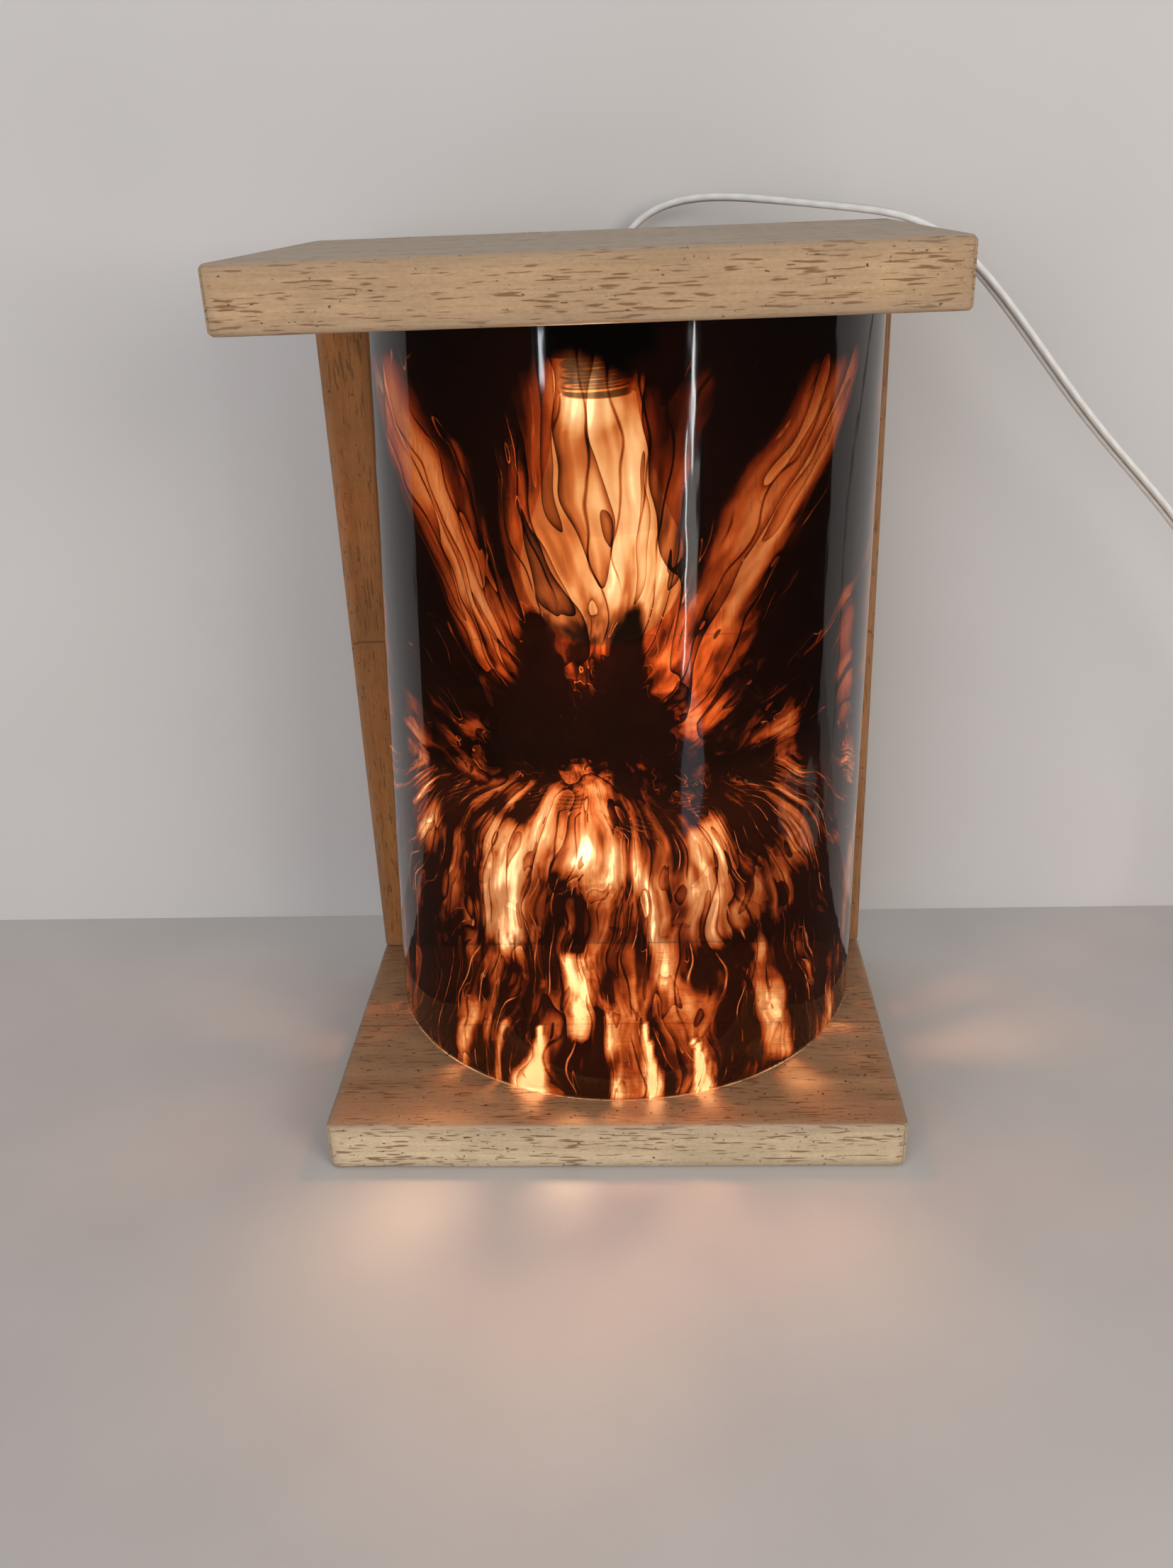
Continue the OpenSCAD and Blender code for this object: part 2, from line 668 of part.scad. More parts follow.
module switch_base() {
    color("whitesmoke") translate([switch_at.x, switch_at.y, 0]) difference() {
        union() {
            difference() {
                linear_extrude(switch_split) switch_plan(0);
                translate([0, 0, switch_wall]) linear_extrude(switch_split) switch_plan(switch_wall);
            }
            each_switch_boss() cylinder(h = switch_split, r = boss_r);
        }
        switch_screw_holes();
        switch_cord_holes();
    }
}

module switch_cover() {
    inside_h = switch_h - switch_wall;
    cheek_x = rocker_w / 2 + running_gap;
    color("whitesmoke") translate([switch_at.x, switch_at.y, 0]) difference() {
        union() {
            difference() {
                translate([0, 0, switch_split]) linear_extrude(switch_h - switch_split) switch_plan(0);
                translate([0, 0, switch_split - over]) linear_extrude(inside_h - switch_split + over)
                    switch_plan(switch_wall);
            }
            each_switch_boss() translate([0, 0, switch_split])
                cylinder(h = inside_h - switch_split + fit, r = boss_r);
            for (x = [-1, 1])
                translate([x * (cheek_x + cheek_w / 2), 0, (pivot_z - pivot_d + inside_h + fit) / 2])
                    cube([cheek_w, 2.4 * pivot_d, inside_h + fit - pivot_z + pivot_d], center = true);
        }
        slab(-window_w / 2, window_w / 2, -window_l / 2, window_l / 2, inside_h - over, switch_h + over);
        translate([-switch_w, 0, pivot_z]) rotate([0, 90, 0])
            translate([0, 0, switch_w - cheek_x - cheek_w - over])
            cylinder(h = 2 * (cheek_x + cheek_w + over), d = pivot_d + 2 * fit);
        switch_screw_holes();
        switch_cord_holes();
    }
}

// The rocker in its on position: one end pressed down, with a shallow valley across its top
module switch_rocker() {
    half = rocker_len / 2;
    low = -2.5;
    rise = 6.2;
    valley = 4.9;
    pin_reach = rocker_w / 2 + running_gap + cheek_w - 0.4;
    color("#303030") translate([switch_at.x, switch_at.y, pivot_z]) rotate([rocker_tilt, 0, 0]) {
        rotate([90, 0, 90]) translate([0, 0, -rocker_w / 2]) linear_extrude(rocker_w)
            polygon([[-half, low], [half, low], [half, rise], [0, valley], [-half, rise]]);
        rotate([0, 90, 0]) cylinder(h = 2 * pin_reach, d = pivot_d, center = true);
    }
}

module switch_contacts() {
    color("goldenrod") for (y = [-1, 1])
        translate([switch_at.x - contact_size.x / 2, switch_at.y - contact_size.y / 2
            + y * (switch_len / 2 - wire_in - contact_size.y / 2), switch_wall]) cube(contact_size);
}

module switch_screws() {
    color("silver") translate([switch_at.x, switch_at.y, 0.4]) each_switch_boss() {
        cylinder(h = switch_head_h, r = switch_head_r);
        cylinder(h = switch_h - switch_wall - 2, r = switch_screw_r);
    }
}

module each_pin() {
    for (x = [-1, 1]) translate([plug_x + x * pin_pitch / 2, plug_y, plug_z]) rotate([-90, 0, 0]) children();
}

pin_root = 10;
pin_root_d = pin_d - 0.8;
module plug_body() {
    back_w = 12;
    waist_w = 26;
    boot_r = 3.4;
    color("whitesmoke") difference() {
        union() {
            translate([plug_x, plug_y, 0]) linear_extrude(plug_h)
                polygon([[-back_w / 2, 0], [back_w / 2, 0], [waist_w / 2, plug_len * 0.4],
                    [plug_w / 2, plug_len * 0.62], [plug_w / 2, plug_len], [-plug_w / 2, plug_len],
                    [-plug_w / 2, plug_len * 0.62], [-waist_w / 2, plug_len * 0.4]]);
            translate([plug_x, boot_y, plug_z]) rotate([-90, 0, 0])
                cylinder(h = boot_len + over, r1 = boot_r, r2 = back_w / 2 - 0.5);
        }
        each_pin() translate([0, 0, plug_len - pin_root])
            cylinder(h = pin_root + over, d = pin_root_d + 2 * fit);
    }
}

module plug_pins() {
    nose = pin_d / 4;
    color("silver") each_pin() {
        translate([0, 0, plug_len - pin_root]) cylinder(h = pin_root, d = pin_root_d);
        translate([0, 0, plug_len]) cylinder(h = pin_len - nose, d = pin_d);
        translate([0, 0, plug_len + pin_len - nose]) cylinder(h = nose, d1 = pin_d, d2 = pin_d / 2);
    }
}

base_board();
back_board();
top_board();
resin_shell();
board_screws();
lampholder_body();
lampholder_sleeve();
lampholder_contact();
lampholder_terminals();
terminal_screws();
lampholder_screws();
bulb_tip();
bulb_insulator();
bulb_cap();
bulb_housing();
bulb_globe();
light_board();
light_chips();
driver_board();
cord_bush();
cord_lead();
cord_run();
switch_base();
switch_cover();
switch_rocker();
switch_contacts();
switch_screws();
cord_link();
cord_coil();
coil_tie();
cord_tail();
plug_body();
plug_pins();
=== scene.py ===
import math

import bmesh
import bpy
import numpy as np
from mathutils import Matrix, Vector, noise


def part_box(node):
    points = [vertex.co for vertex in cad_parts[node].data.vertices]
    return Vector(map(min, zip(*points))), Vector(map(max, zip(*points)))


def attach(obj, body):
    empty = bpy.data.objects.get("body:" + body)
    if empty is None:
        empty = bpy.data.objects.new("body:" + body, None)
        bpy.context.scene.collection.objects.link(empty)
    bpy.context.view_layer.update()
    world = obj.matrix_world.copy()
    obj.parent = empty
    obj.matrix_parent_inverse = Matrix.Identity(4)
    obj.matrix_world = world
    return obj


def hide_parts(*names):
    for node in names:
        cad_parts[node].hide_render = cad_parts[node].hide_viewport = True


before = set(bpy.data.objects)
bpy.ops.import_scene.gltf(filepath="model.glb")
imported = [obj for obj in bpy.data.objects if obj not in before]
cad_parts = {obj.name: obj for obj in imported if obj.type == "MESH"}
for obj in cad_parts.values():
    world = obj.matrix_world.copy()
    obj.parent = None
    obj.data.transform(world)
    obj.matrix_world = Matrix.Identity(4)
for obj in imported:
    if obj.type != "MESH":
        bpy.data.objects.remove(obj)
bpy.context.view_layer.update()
scene = bpy.context.scene
scene.view_settings.view_transform = "Standard"


# Camera
# It stands half a metre ahead of the lamp, a little above the top board, and looks down at the shell.
# The lens is for a picture of 1655 by 2212, whose height takes the sensor's 36 mm.
def put(name, data):
    piece = bpy.data.objects.new(name, data)
    scene.collection.objects.link(piece)
    return piece


pan, down, roll = 0.05685, 0.42735, -0.04113
sensor, focal_px, height_px = 36, 1874.57, 2212
eye = Matrix.Translation((0.01786, -0.47537, 0.34397))
eye = eye @ Matrix.Rotation(pan, 4, "Z") @ Matrix.Rotation(math.pi / 2 - down, 4, "X")
lens = bpy.data.cameras.new("camera")
lens.sensor_width = sensor
lens.lens = sensor * focal_px / height_px
camera = put("camera", lens)
camera.matrix_world = eye @ Matrix.Rotation(roll, 4, "Z")
scene.camera = camera


# Base, back and top boards
# Planed rubberwood 20 mm thick, with corners and arrises rubbed round with sandpaper by hand.
# The back board stands on the base, the top board lies on it, and wood screws go through both into its ends.
def linear(code):
    parts = [int(code[i : i + 2], 16) / 255 for i in (1, 3, 5)]
    return [c / 12.92 if c <= 0.04045 else ((c + 0.055) / 1.055) ** 2.4 for c in parts] + [1.0]


# One node with its links, by socket or in order, and its settings. A kind without "Node" in it is a shader
# node, and a second word is the node's operation.
def add(tree, kind, links=(), **settings):
    kind, _, operation = kind.partition(" ")
    made = tree.nodes.new(kind if "Node" in kind else "ShaderNode" + kind)
    if operation:
        made.operation = operation
    for name, value in settings.items():
        if name == "stops":
            ramp = made.color_ramp
            ramp.elements[0].position = value[0][0]
            ramp.elements[1].position = value[-1][0]
            for place, _ in value[1:-1]:
                ramp.elements.new(place)
            for element, (_, colour) in zip(ramp.elements, value):
                element.color = linear(colour)
        else:
            setattr(made, name, value)
    for name, value in links.items() if isinstance(links, dict) else enumerate(links):
        if isinstance(value, bpy.types.Node):
            value = value.outputs[0]
        if isinstance(value, bpy.types.NodeSocket):
            tree.links.new(value, made.inputs[name])
        else:
            made.inputs[name].default_value = value
    return made


def new_finish(name):
    finish = bpy.data.materials.new(name)
    finish.use_nodes = True
    finish.node_tree.nodes.clear()
    return finish, finish.node_tree


# Sanded rubberwood: tan, with short dark pore dashes 3 to 7 mm long that lie in clumps along the grain,
# faint fibre lines, a few black specks and greyer, rubbed arrises. With closed pores and no varnish it is
# nearly matt. On the base, painted light makes the front and back faces paler and painted shade makes the
# top and ends browner. On the back board, a darker orange stands for painted bulb glow and shade. Faces
# that look up are mixed towards a pale grey.
def sanded_rubberwood(name, turn, shift, face, edge, upward_pale_grey=0.0, joint_at=None, seam_at=None):
    finish, t = new_finish(name)
    given = add(t, "TexCoord")
    sockets = {"Vector": given.outputs["Object"], "Location": shift, "Rotation": turn, "Scale": (1000,) * 3}
    grain = add(t, "Mapping", sockets)
    field = {}
    for key, size, detail in (
        ("band", (170, 12, 12), 4.0),
        ("fibre", (34, 0.7, 0.7), 3.0),
        ("pore", (7.0, 0.75, 0.75), 0.5),
        ("clump", (30, 12, 12), 2.0),
        ("cloud", (34, 34, 34), 3.0),
        ("speck", (1.6, 1.3, 1.3), 0.0),
        ("grit", (1.4, 0.7, 0.7), 1.0),
    ):
        drawn = add(t, "VectorMath DIVIDE", (grain, size))
        field[key] = add(t, "TexNoise", {"Vector": drawn, "Scale": 1.0, "Detail": detail, "Roughness": 0.62})
    facing = add(t, "SeparateXYZ", (given.outputs["Normal"],))
    # Faces that look along Y take the second pair of colours. On the base, the first pair is painted shade
    # and the second is painted light
    front = add(t, "Math ABSOLUTE", (facing.outputs["Y"],))
    front = add(t, "MapRange", (front, 0.5, 0.8, 0.0, 1.0))
    broad = []
    for light, dark in (face, edge):
        broad.append(add(t, "ValToRGB", {"Fac": field["band"]}, stops=[(0.3, light), (0.72, dark)]))
    body = add(t, "Mix", {0: front, 6: broad[0], 7: broad[1]}, data_type="RGBA").outputs[2]
    for key, least, most in (("fibre", 0.9, 1.07), ("cloud", 0.88, 1.08), ("grit", 0.93, 1.06)):
        tone = add(t, "MapRange", (field[key], 0.32, 0.68, least, most))
        body = add(t, "VectorMath MULTIPLY", (body, tone))
    # Where pores stand close, a lower value of the pore noise is already a dash
    least = add(t, "MapRange", (field["clump"], 0.35, 0.65, 0.68, 0.555))
    dash = add(t, "Math SUBTRACT", (field["pore"], least))
    dash = add(t, "MapRange", (dash, 0.0, 0.08, 0.0, 0.75))
    speck = add(t, "MapRange", (field["speck"], 0.78, 0.82, 0.0, 0.8))
    # Faces that look up are mixed towards a pale grey
    up = add(t, "MapRange", (facing.outputs["Z"], 0.7, 0.95, 0.0, upward_pale_grey))
    marks = [(up, "#C0B5A6"), (dash, "#6C4727"), (speck, "#35261A")]
    worn = add(t, "Attribute", attribute_name="arris").outputs["Fac"]
    worn = add(t, "Math MULTIPLY", (worn, field["cloud"]))
    marks.append((worn, "#8C7A68"))
    at = add(t, "SeparateXYZ", (grain,))
    lines = []
    if joint_at is not None:
        # A glued finger joint crosses the grain as a fine dark zigzag, one tooth every 8 mm
        tooth = add(t, "Math PINGPONG", (at.outputs["Y"], 4.0))
        line = add(t, "Math MULTIPLY_ADD", (tooth, 2.2, joint_at))
        lines.append(add(t, "Math SUBTRACT", (at.outputs["X"], line)))
    if seam_at is not None:
        # Two strips glued edge to edge show a fine dark line along the grain
        line = add(t, "Math MULTIPLY_ADD", (field["band"], 1.5, seam_at))
        lines.append(add(t, "Math SUBTRACT", (at.outputs["Y"], line)))
    for line in lines:
        line = add(t, "Math ABSOLUTE", (line,))
        line = add(t, "MapRange", (line, 0.2, 0.6, 0.65, 0.0))
        marks.append((line, "#4E3826"))
    for share, colour in marks:
        body = add(t, "Mix", {0: share, 6: body, 7: linear(colour)}, data_type="RGBA").outputs[2]
    hollow = add(t, "Math MULTIPLY_ADD", (dash, -0.8, field["fibre"]))
    bump = add(t, "Bump", {"Strength": 0.4, "Distance": 0.0002, "Height": hollow})
    matt = add(t, "MapRange", (field["fibre"], 0.3, 0.7, 0.56, 0.7))
    shader = add(t, "BsdfPrincipled", {"Base Color": body, "Roughness": matt, "Normal": bump, "IOR": 1.45})
    add(t, "OutputMaterial", {"Surface": shader})
    return finish


# Rings of equal count joined into a closed skin, with both ends capped or the last ring joined to the first
def loft(rings, closed=False):
    count = len(rings[0])
    verts = [tuple(p) for r in rings for p in r]
    faces = []
    for a in range(len(rings) if closed else len(rings) - 1):
        b = (a + 1) % len(rings)
        for i in range(count):
            j = (i + 1) % count
            faces.append((a * count + i, a * count + j, b * count + j, b * count + i))
    if not closed:
        faces.append(tuple(range(count))[::-1])
        faces.append(tuple((len(rings) - 1) * count + i for i in range(count)))
    return verts, faces


def turned(profile, sides, closed=False):
    turns = [math.tau * i / sides for i in range(sides)]
    return loft([[(r * math.cos(a), r * math.sin(a), z) for a in turns] for r, z in profile], closed)


# A mesh given in millimetres becomes a piece in metres, with its place in the mesh
def solid(name, shape, finish, place=Matrix(), sharp=35):
    mesh = bpy.data.meshes.new(name)
    mesh.from_pydata(shape[0], [], shape[1])
    mesh.transform(place @ Matrix.Scale(0.001, 4))
    work = bmesh.new()
    work.from_mesh(mesh)
    bmesh.ops.remove_doubles(work, verts=work.verts, dist=1e-7)
    bmesh.ops.recalc_face_normals(work, faces=work.faces)
    work.to_mesh(mesh)
    work.free()
    mesh.shade_smooth()
    mesh.set_sharp_from_angle(angle=math.radians(sharp))
    mesh.materials.append(finish)
    return put(name, mesh)


# The mesh that a piece's modifiers give takes the place of its own, and the modifiers go
def settle(piece):
    bpy.context.view_layer.update()
    depsgraph = bpy.context.evaluated_depsgraph_get()
    mesh = bpy.data.meshes.new_from_object(
        piece.evaluated_get(depsgraph), preserve_all_data_layers=True, depsgraph=depsgraph
    )
    piece.modifiers.clear()
    piece.data = mesh
    mesh.name = piece.name
    return piece


def cut(piece, *cutters):
    for cutter in cutters:
        hole = piece.modifiers.new("hole", "BOOLEAN")
        hole.operation = "DIFFERENCE"
        hole.solver = "EXACT"
        hole.object = cutter
    settle(piece)
    for cutter in cutters:
        bpy.data.objects.remove(cutter)
    piece.data.shade_smooth()
    piece.data.set_sharp_from_angle(angle=math.radians(35))
    return piece


# A finished piece moves with a body and takes the place of that body's plain solids
def fitted(piece, body, slot, *nodes):
    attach(piece, body)
    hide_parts(*nodes)
    return piece


arris, corner, weave = 1.5, 3.2, 3.0


# A board between two corners, in millimetres: a fine grid pushed out to a box with small rubbed arrises and
# rounder upright corners
def sanded_board(name, low, high, finish):
    low, high = np.array(low, float), np.array(high, float)
    turn = [arris * math.tan(math.pi / 4 * j / 3) for j in range(4)]
    ticks = []
    for a, b in zip(low, high):
        inner = np.linspace(a + arris, b - arris, max(2, int((b - a) / weave)))
        first, last = [a + arris - x for x in turn[:0:-1]], [b - arris + x for x in turn[1:]]
        ticks.append(np.concatenate([first, inner, last]))
    verts, faces = [], []
    for axis in range(3):
        one, two = [k for k in range(3) if k != axis]
        for side in (low, high):
            grid = np.zeros((len(ticks[one]), len(ticks[two]), 3))
            grid[..., one] = ticks[one][:, None]
            grid[..., two] = ticks[two][None, :]
            grid[..., axis] = side[axis]
            start, wide = len(verts), len(ticks[two])
            verts += [tuple(p) for p in grid.reshape(-1, 3)]
            for i in range(len(ticks[one]) - 1):
                for j in range(wide - 1):
                    k = start + i * wide + j
                    faces.append((k, k + 1, k + wide + 1, k + wide))
    core = np.clip(verts, low + arris, high - arris)
    out = np.array(verts) - core
    out /= np.linalg.norm(out, axis=1, keepdims=True)
    edge = np.sort(np.abs(out), axis=1)[:, 1]
    rub = np.zeros(len(verts))
    for share, size in ((1.0, 23), (0.6, 7), (0.5, 3)):
        rub += [share * noise.noise(Vector(p) / size) for p in verts]
    points = core + out * (arris - (0.04 + 0.6 * edge) * (0.4 + 0.6 * rub).clip(0, 1))[:, None]
    middle = np.clip(points[:, :2], low[:2] + corner, high[:2] - corner)
    off = points[:, :2] - middle
    square = np.abs(off).max(axis=1)
    points[:, :2] = middle + off * (square / np.maximum(np.hypot(*off.T), 1e-9))[:, None]
    return solid(name, ([tuple(p) for p in points], faces), finish, sharp=60)


# A number or a vector for each point of a mesh
def mark(mesh, name, values):
    values = np.asarray(values, np.float32)
    kind, key = ("FLOAT", "value") if values.ndim == 1 else ("FLOAT_VECTOR", "vector")
    mesh.attributes.new(name, kind, "POINT").data.foreach_set(key, values.ravel())


# How near each point is to a rubbed arris, for the wood's colour
def mark_arris(board, low, high):
    mesh = board.data
    points = np.empty(len(mesh.vertices) * 3, np.float32)
    mesh.vertices.foreach_get("co", points)
    points = points.reshape(-1, 3) * 1000
    near = np.sort(np.minimum(points - np.array(low), np.array(high) - points), axis=1)[:, 1]
    mark(mesh, "arris", np.clip(1 - near / 4, 0, 1))


screw_xs, screw_y, cord_z = (-75, -25, 25, 75), 65, 296.5
sink = [(4.05, -1), (4.05, 0.5), (2.05, 2.9), (2.05, 6)]
honey = ("#B39472", "#A58664")
# Browner, as painted shade: for the base's top and ends
painted_shade_top = ("#B08660", "#8E6948")
# Paler, as painted light: for the base's front and back
painted_light_front = ("#CDB999", "#B09C7E")
# Darker and more orange than the other boards, as painted bulb glow and shade on the back board
painted_glow_and_shade = ("#AE7440", "#86542C")
level_wood = sanded_rubberwood("sanded rubberwood, grain level", (0, 0, 0), (40, 13, 7), honey, honey, 0.6)
base_wood = sanded_rubberwood(
    "sanded rubberwood, browned by use", (0, 0, 0), (-310, 55, 90), painted_shade_top, painted_light_front, 0.0, None, 45.5
)
upright_wood = sanded_rubberwood(
    "sanded rubberwood, grain upright", (0, math.pi / 2, 0), (15, 70, 21), painted_glow_and_shade, painted_glow_and_shade, 0.0, 178
)
boards = {
    "base_board": ("sanded_base", (-110, -75, 0), (110, 75, 20), base_wood),
    "back_board": ("sanded_back", (-110, 55, 20), (110, 75, 306), upright_wood),
    "top_board": ("sanded_top", (-110, -77, 306), (110, 75, 326), level_wood),
}
for node, (name, low, high, finish) in boards.items():
    board = sanded_board(name, low, high, finish)
    cutters = []
    for x in screw_xs:
        if node == "base_board":
            at = Matrix.Translation((x / 1000, screw_y / 1000, 0))
            cutters.append(solid("sink", turned(sink, 32), finish, at))
        if node == "top_board":
            at = Matrix.Translation((x / 1000, screw_y / 1000, 0.326)) @ Matrix.Rotation(math.pi, 4, "X")
            cutters.append(solid("sink", turned(sink, 32), finish, at))
    if node == "back_board":
        bore = Matrix.Translation((0, 0.065, cord_z / 1000)) @ Matrix.Rotation(math.pi / 2, 4, "X")
        cutters.append(solid("bore", turned([(4.55, -14), (4.55, 14)], 48), finish, bore))
    cut(board, *cutters)
    mark_arris(board, low, high)
    fitted(board, "stand", "board_wood", node)


# Wood screws
# Eight countersunk cross-head screws of zinc-plated steel, driven through the top and the base into the back
# board's ends. Their heads lie half a millimetre below the wood, each turned as it happened to stop.

# Thin bright plating over steel: a cool grey with faint straw and blue tinges and small dull rub marks
steel, t = new_finish("zinc-plated steel, pressed and rumbled")
place = add(t, "TexCoord").outputs["Object"]
tinge = add(t, "TexNoise", {"Vector": place, "Scale": 1000 / 3.0, "Detail": 3.0})
rubs = add(t, "TexNoise", {"Vector": place, "Scale": 1000 / 0.5, "Detail": 2.0})
plate = add(t, "ValToRGB", {"Fac": tinge}, stops=[(0.3, "#A9AEB6"), (0.5, "#BDBDBA"), (0.7, "#C2B9A2")])
dull = add(t, "MapRange", (rubs, 0.3, 0.7, 0.22, 0.46))
shader = add(t, "BsdfPrincipled", {"Base Color": plate, "Metallic": 1.0, "Roughness": dull})
add(t, "OutputMaterial", {"Surface": shader})


# A screw along +Z with its head's face at the origin and a cross cut into the head
def cross_screw(name, profile, cross_r, cross_w, cross_h):
    screw = solid(name, turned(profile, 40), steel)
    arms = []
    for turn in (0, math.pi / 2):
        deep = [(-cross_r * 0.45, cross_w * 0.4, cross_h), (-cross_r, cross_w / 2, -1)]
        rings = []
        for half, wide, z in deep:
            rings.append([(half, -wide, z), (-half, -wide, z), (-half, wide, z), (half, wide, z)])
        arms.append(solid("arm", loft(rings), steel, Matrix.Rotation(turn, 4, "Z")))
    return cut(screw, *arms)


# A tree with named inputs that gives one geometry
def new_tree(name, inputs, output):
    tree = bpy.data.node_groups.new(name, "GeometryNodeTree")
    for key, kind in inputs.items():
        tree.interface.new_socket(key, in_out="INPUT", socket_type="NodeSocket" + kind)
    tree.interface.new_socket(output, in_out="OUTPUT", socket_type="NodeSocketGeometry")
    return tree


# A piece takes its mesh from a tree, whose inputs are set by name
def grown(piece, tree, inputs):
    modifier = piece.modifiers.new(tree.name, "NODES")
    modifier.node_group = tree
    for item in tree.interface.items_tree:
        if item.in_out == "INPUT" and item.name in inputs:
            modifier[item.identifier] = inputs[item.name]
    return settle(piece)


# Screws set on points that carry their own turn, each spun at random about its length
screw_inputs = {"Points": "Geometry", "Screw": "Object", "Spin": "Float", "Seed": "Int", "Metal": "Material"}
t = screw_tree = new_tree("screws set on points", screw_inputs, "Screws")
given = add(t, "NodeGroupInput").outputs
spots = add(t, "GeometryNodeMeshToPoints", {"Mesh": given["Points"]})
screw = add(t, "GeometryNodeObjectInfo", {"Object": given["Screw"]})
sockets = {"Min": 0.0, "Max": given["Spin"], "Seed": given["Seed"]}
spin = add(t, "FunctionNodeRandomValue", sockets, data_type="FLOAT")
spin = add(t, "CombineXYZ", {"Z": spin.outputs[1]})
facing = add(t, "GeometryNodeInputNamedAttribute", {"Name": "turn"}, data_type="FLOAT_VECTOR")
turns = add(t, "FunctionNodeRotateEuler", (facing, spin), space="LOCAL")
sockets = {"Points": spots, "Instance": screw.outputs["Geometry"], "Rotation": turns}
placed = add(t, "GeometryNodeInstanceOnPoints", sockets)
real = add(t, "GeometryNodeRealizeInstances", (placed,))
metal = add(t, "GeometryNodeSetMaterial", {"Geometry": real, "Material": given["Metal"]})
add(t, "NodeGroupOutput", (metal,))


def screws_at(name, places, turn, screw, seed):
    mesh = bpy.data.meshes.new(name)
    mesh.from_pydata([[v / 1000 for v in p] for p in places], [], [])
    mark(mesh, "turn", turn)
    inputs = {"Screw": screw, "Spin": math.tau, "Seed": seed, "Metal": steel}
    piece = grown(put(name, mesh), screw_tree, inputs)
    bpy.data.objects.remove(screw)
    return piece


wood_screw = [(2.6, 0), (4, 0), (3.9, 0.25), (2, 2.4), (1.9, 40), (0.2, 45)]
screw = cross_screw("wood_screw", wood_screw, 2.4, 0.9, 1.6)
places = [(x, screw_y, z) for z in (0.5, 325.5) for x in screw_xs]
turn = [(0, 0, 0)] * 4 + [(math.pi, 0, 0)] * 4
wood_screws = screws_at("wood_screws", places, turn, screw, 4)
fitted(wood_screws, "stand", "zinc_steel", "board_screws")


# Resin shell
# A wall of clear epoxy 5 mm thick, cast in a pipe mould with dark ink let into it while it was still wet,
# then cut to a bit over half a round. It narrows upwards, leans to the right and is glued to the back board.
shell_sizes = {
    "Foot Radius": 0.099,
    "Head Radius": 0.094,
    "Foot Offset": 0.0025,
    "Head Offset": 0.0095,
    "Axis Depth": 0.039,
    "Back Depth": 0.055,
    "Foot Height": 0.02,
    "Wall Height": 0.286,
}
shell_inputs = {**dict.fromkeys(shell_sizes, "Float"), "Columns": "Int", "Rows": "Int", "Resin": "Material"}
t = shell_tree = new_tree("leaning shell wall", shell_inputs, "Shell")
size = add(t, "NodeGroupInput").outputs
sockets = {"Size X": 2.0, "Size Y": 2.0, "Vertices X": size["Columns"], "Vertices Y": size["Rows"]}
grid = add(t, "GeometryNodeMeshGrid", sockets)
at = add(t, "SeparateXYZ", (add(t, "GeometryNodeInputPosition"),))
rise = add(t, "Math MULTIPLY_ADD", (at.outputs["Y"], 0.5, 0.5))
radius = add(t, "Mix", {0: rise, 2: size["Foot Radius"], 3: size["Head Radius"]})
middle = add(t, "Mix", {0: rise, 2: size["Foot Offset"], 3: size["Head Offset"]})
past = add(t, "Math SUBTRACT", (size["Back Depth"], size["Axis Depth"]))
past = add(t, "Math DIVIDE", (past, radius))
past = add(t, "Math ARCSINE", (past,))
half = add(t, "Math ADD", (past, math.pi / 2))
angle = add(t, "Math MULTIPLY", (at.outputs["X"], half))
sine = add(t, "Math SINE", (angle,))
cosine = add(t, "Math COSINE", (angle,))
x = add(t, "Math MULTIPLY_ADD", (radius, sine, middle))
y = add(t, "Math MULTIPLY", (radius, cosine))
y = add(t, "Math SUBTRACT", (size["Axis Depth"], y))
tall = add(t, "Math MULTIPLY", (rise, size["Wall Height"]))
z = add(t, "Math ADD", (tall, size["Foot Height"]))
where = add(t, "CombineXYZ", (x, y, z))
arc = add(t, "Math MULTIPLY", (angle, radius))
sheet = add(t, "CombineXYZ", (arc, tall, 0.0))
sheet = add(t, "VectorMath SCALE", {0: sheet, "Scale": 1000.0})
sockets = {"Geometry": grid, "Name": "sheet", "Value": sheet}
marked = add(t, "GeometryNodeStoreNamedAttribute", sockets, data_type="FLOAT_VECTOR", domain="POINT")
bent = add(t, "GeometryNodeSetPosition", {"Geometry": marked, "Position": where})
smooth = add(t, "GeometryNodeSetShadeSmooth", {"Geometry": bent})
real = add(t, "GeometryNodeRealizeInstances", (smooth,))
cast = add(t, "GeometryNodeSetMaterial", {"Geometry": real, "Material": size["Resin"]})
add(t, "NodeGroupOutput", (cast,))

# Cast epoxy with flowed ink: glossy and clear, so that the lit inside shows where the ink is thin, amber
# where it is thicker and black where it pooled. Ink drawn through wet resin tears into fibres, folded veils
# and hair-thin veins.
inked, t = new_finish("cast epoxy resin with flowed ink, polished")
sheet = add(t, "Attribute", attribute_name="sheet").outputs["Vector"]
flow = add(t, "Attribute", attribute_name="flow").outputs["Vector"]
fan = add(t, "Attribute", attribute_name="fan").outputs["Vector"]
ink = add(t, "Attribute", attribute_name="ink").outputs["Fac"]
low = add(t, "Attribute", attribute_name="low").outputs["Fac"]
wander = add(t, "TexNoise", {"Vector": sheet, "Scale": 1 / 34, "Detail": 1.0, "Roughness": 0.5})
wander = add(t, "VectorMath SUBTRACT", (wander.outputs["Color"], (0.5,) * 3))
sway = add(t, "VectorMath SCALE", {0: wander, "Scale": 0.45})
drawn = add(t, "VectorMath ADD", (flow, sway))
sway = add(t, "VectorMath SCALE", {0: wander, "Scale": 1.3})
fallen = add(t, "VectorMath ADD", (fan, sway))


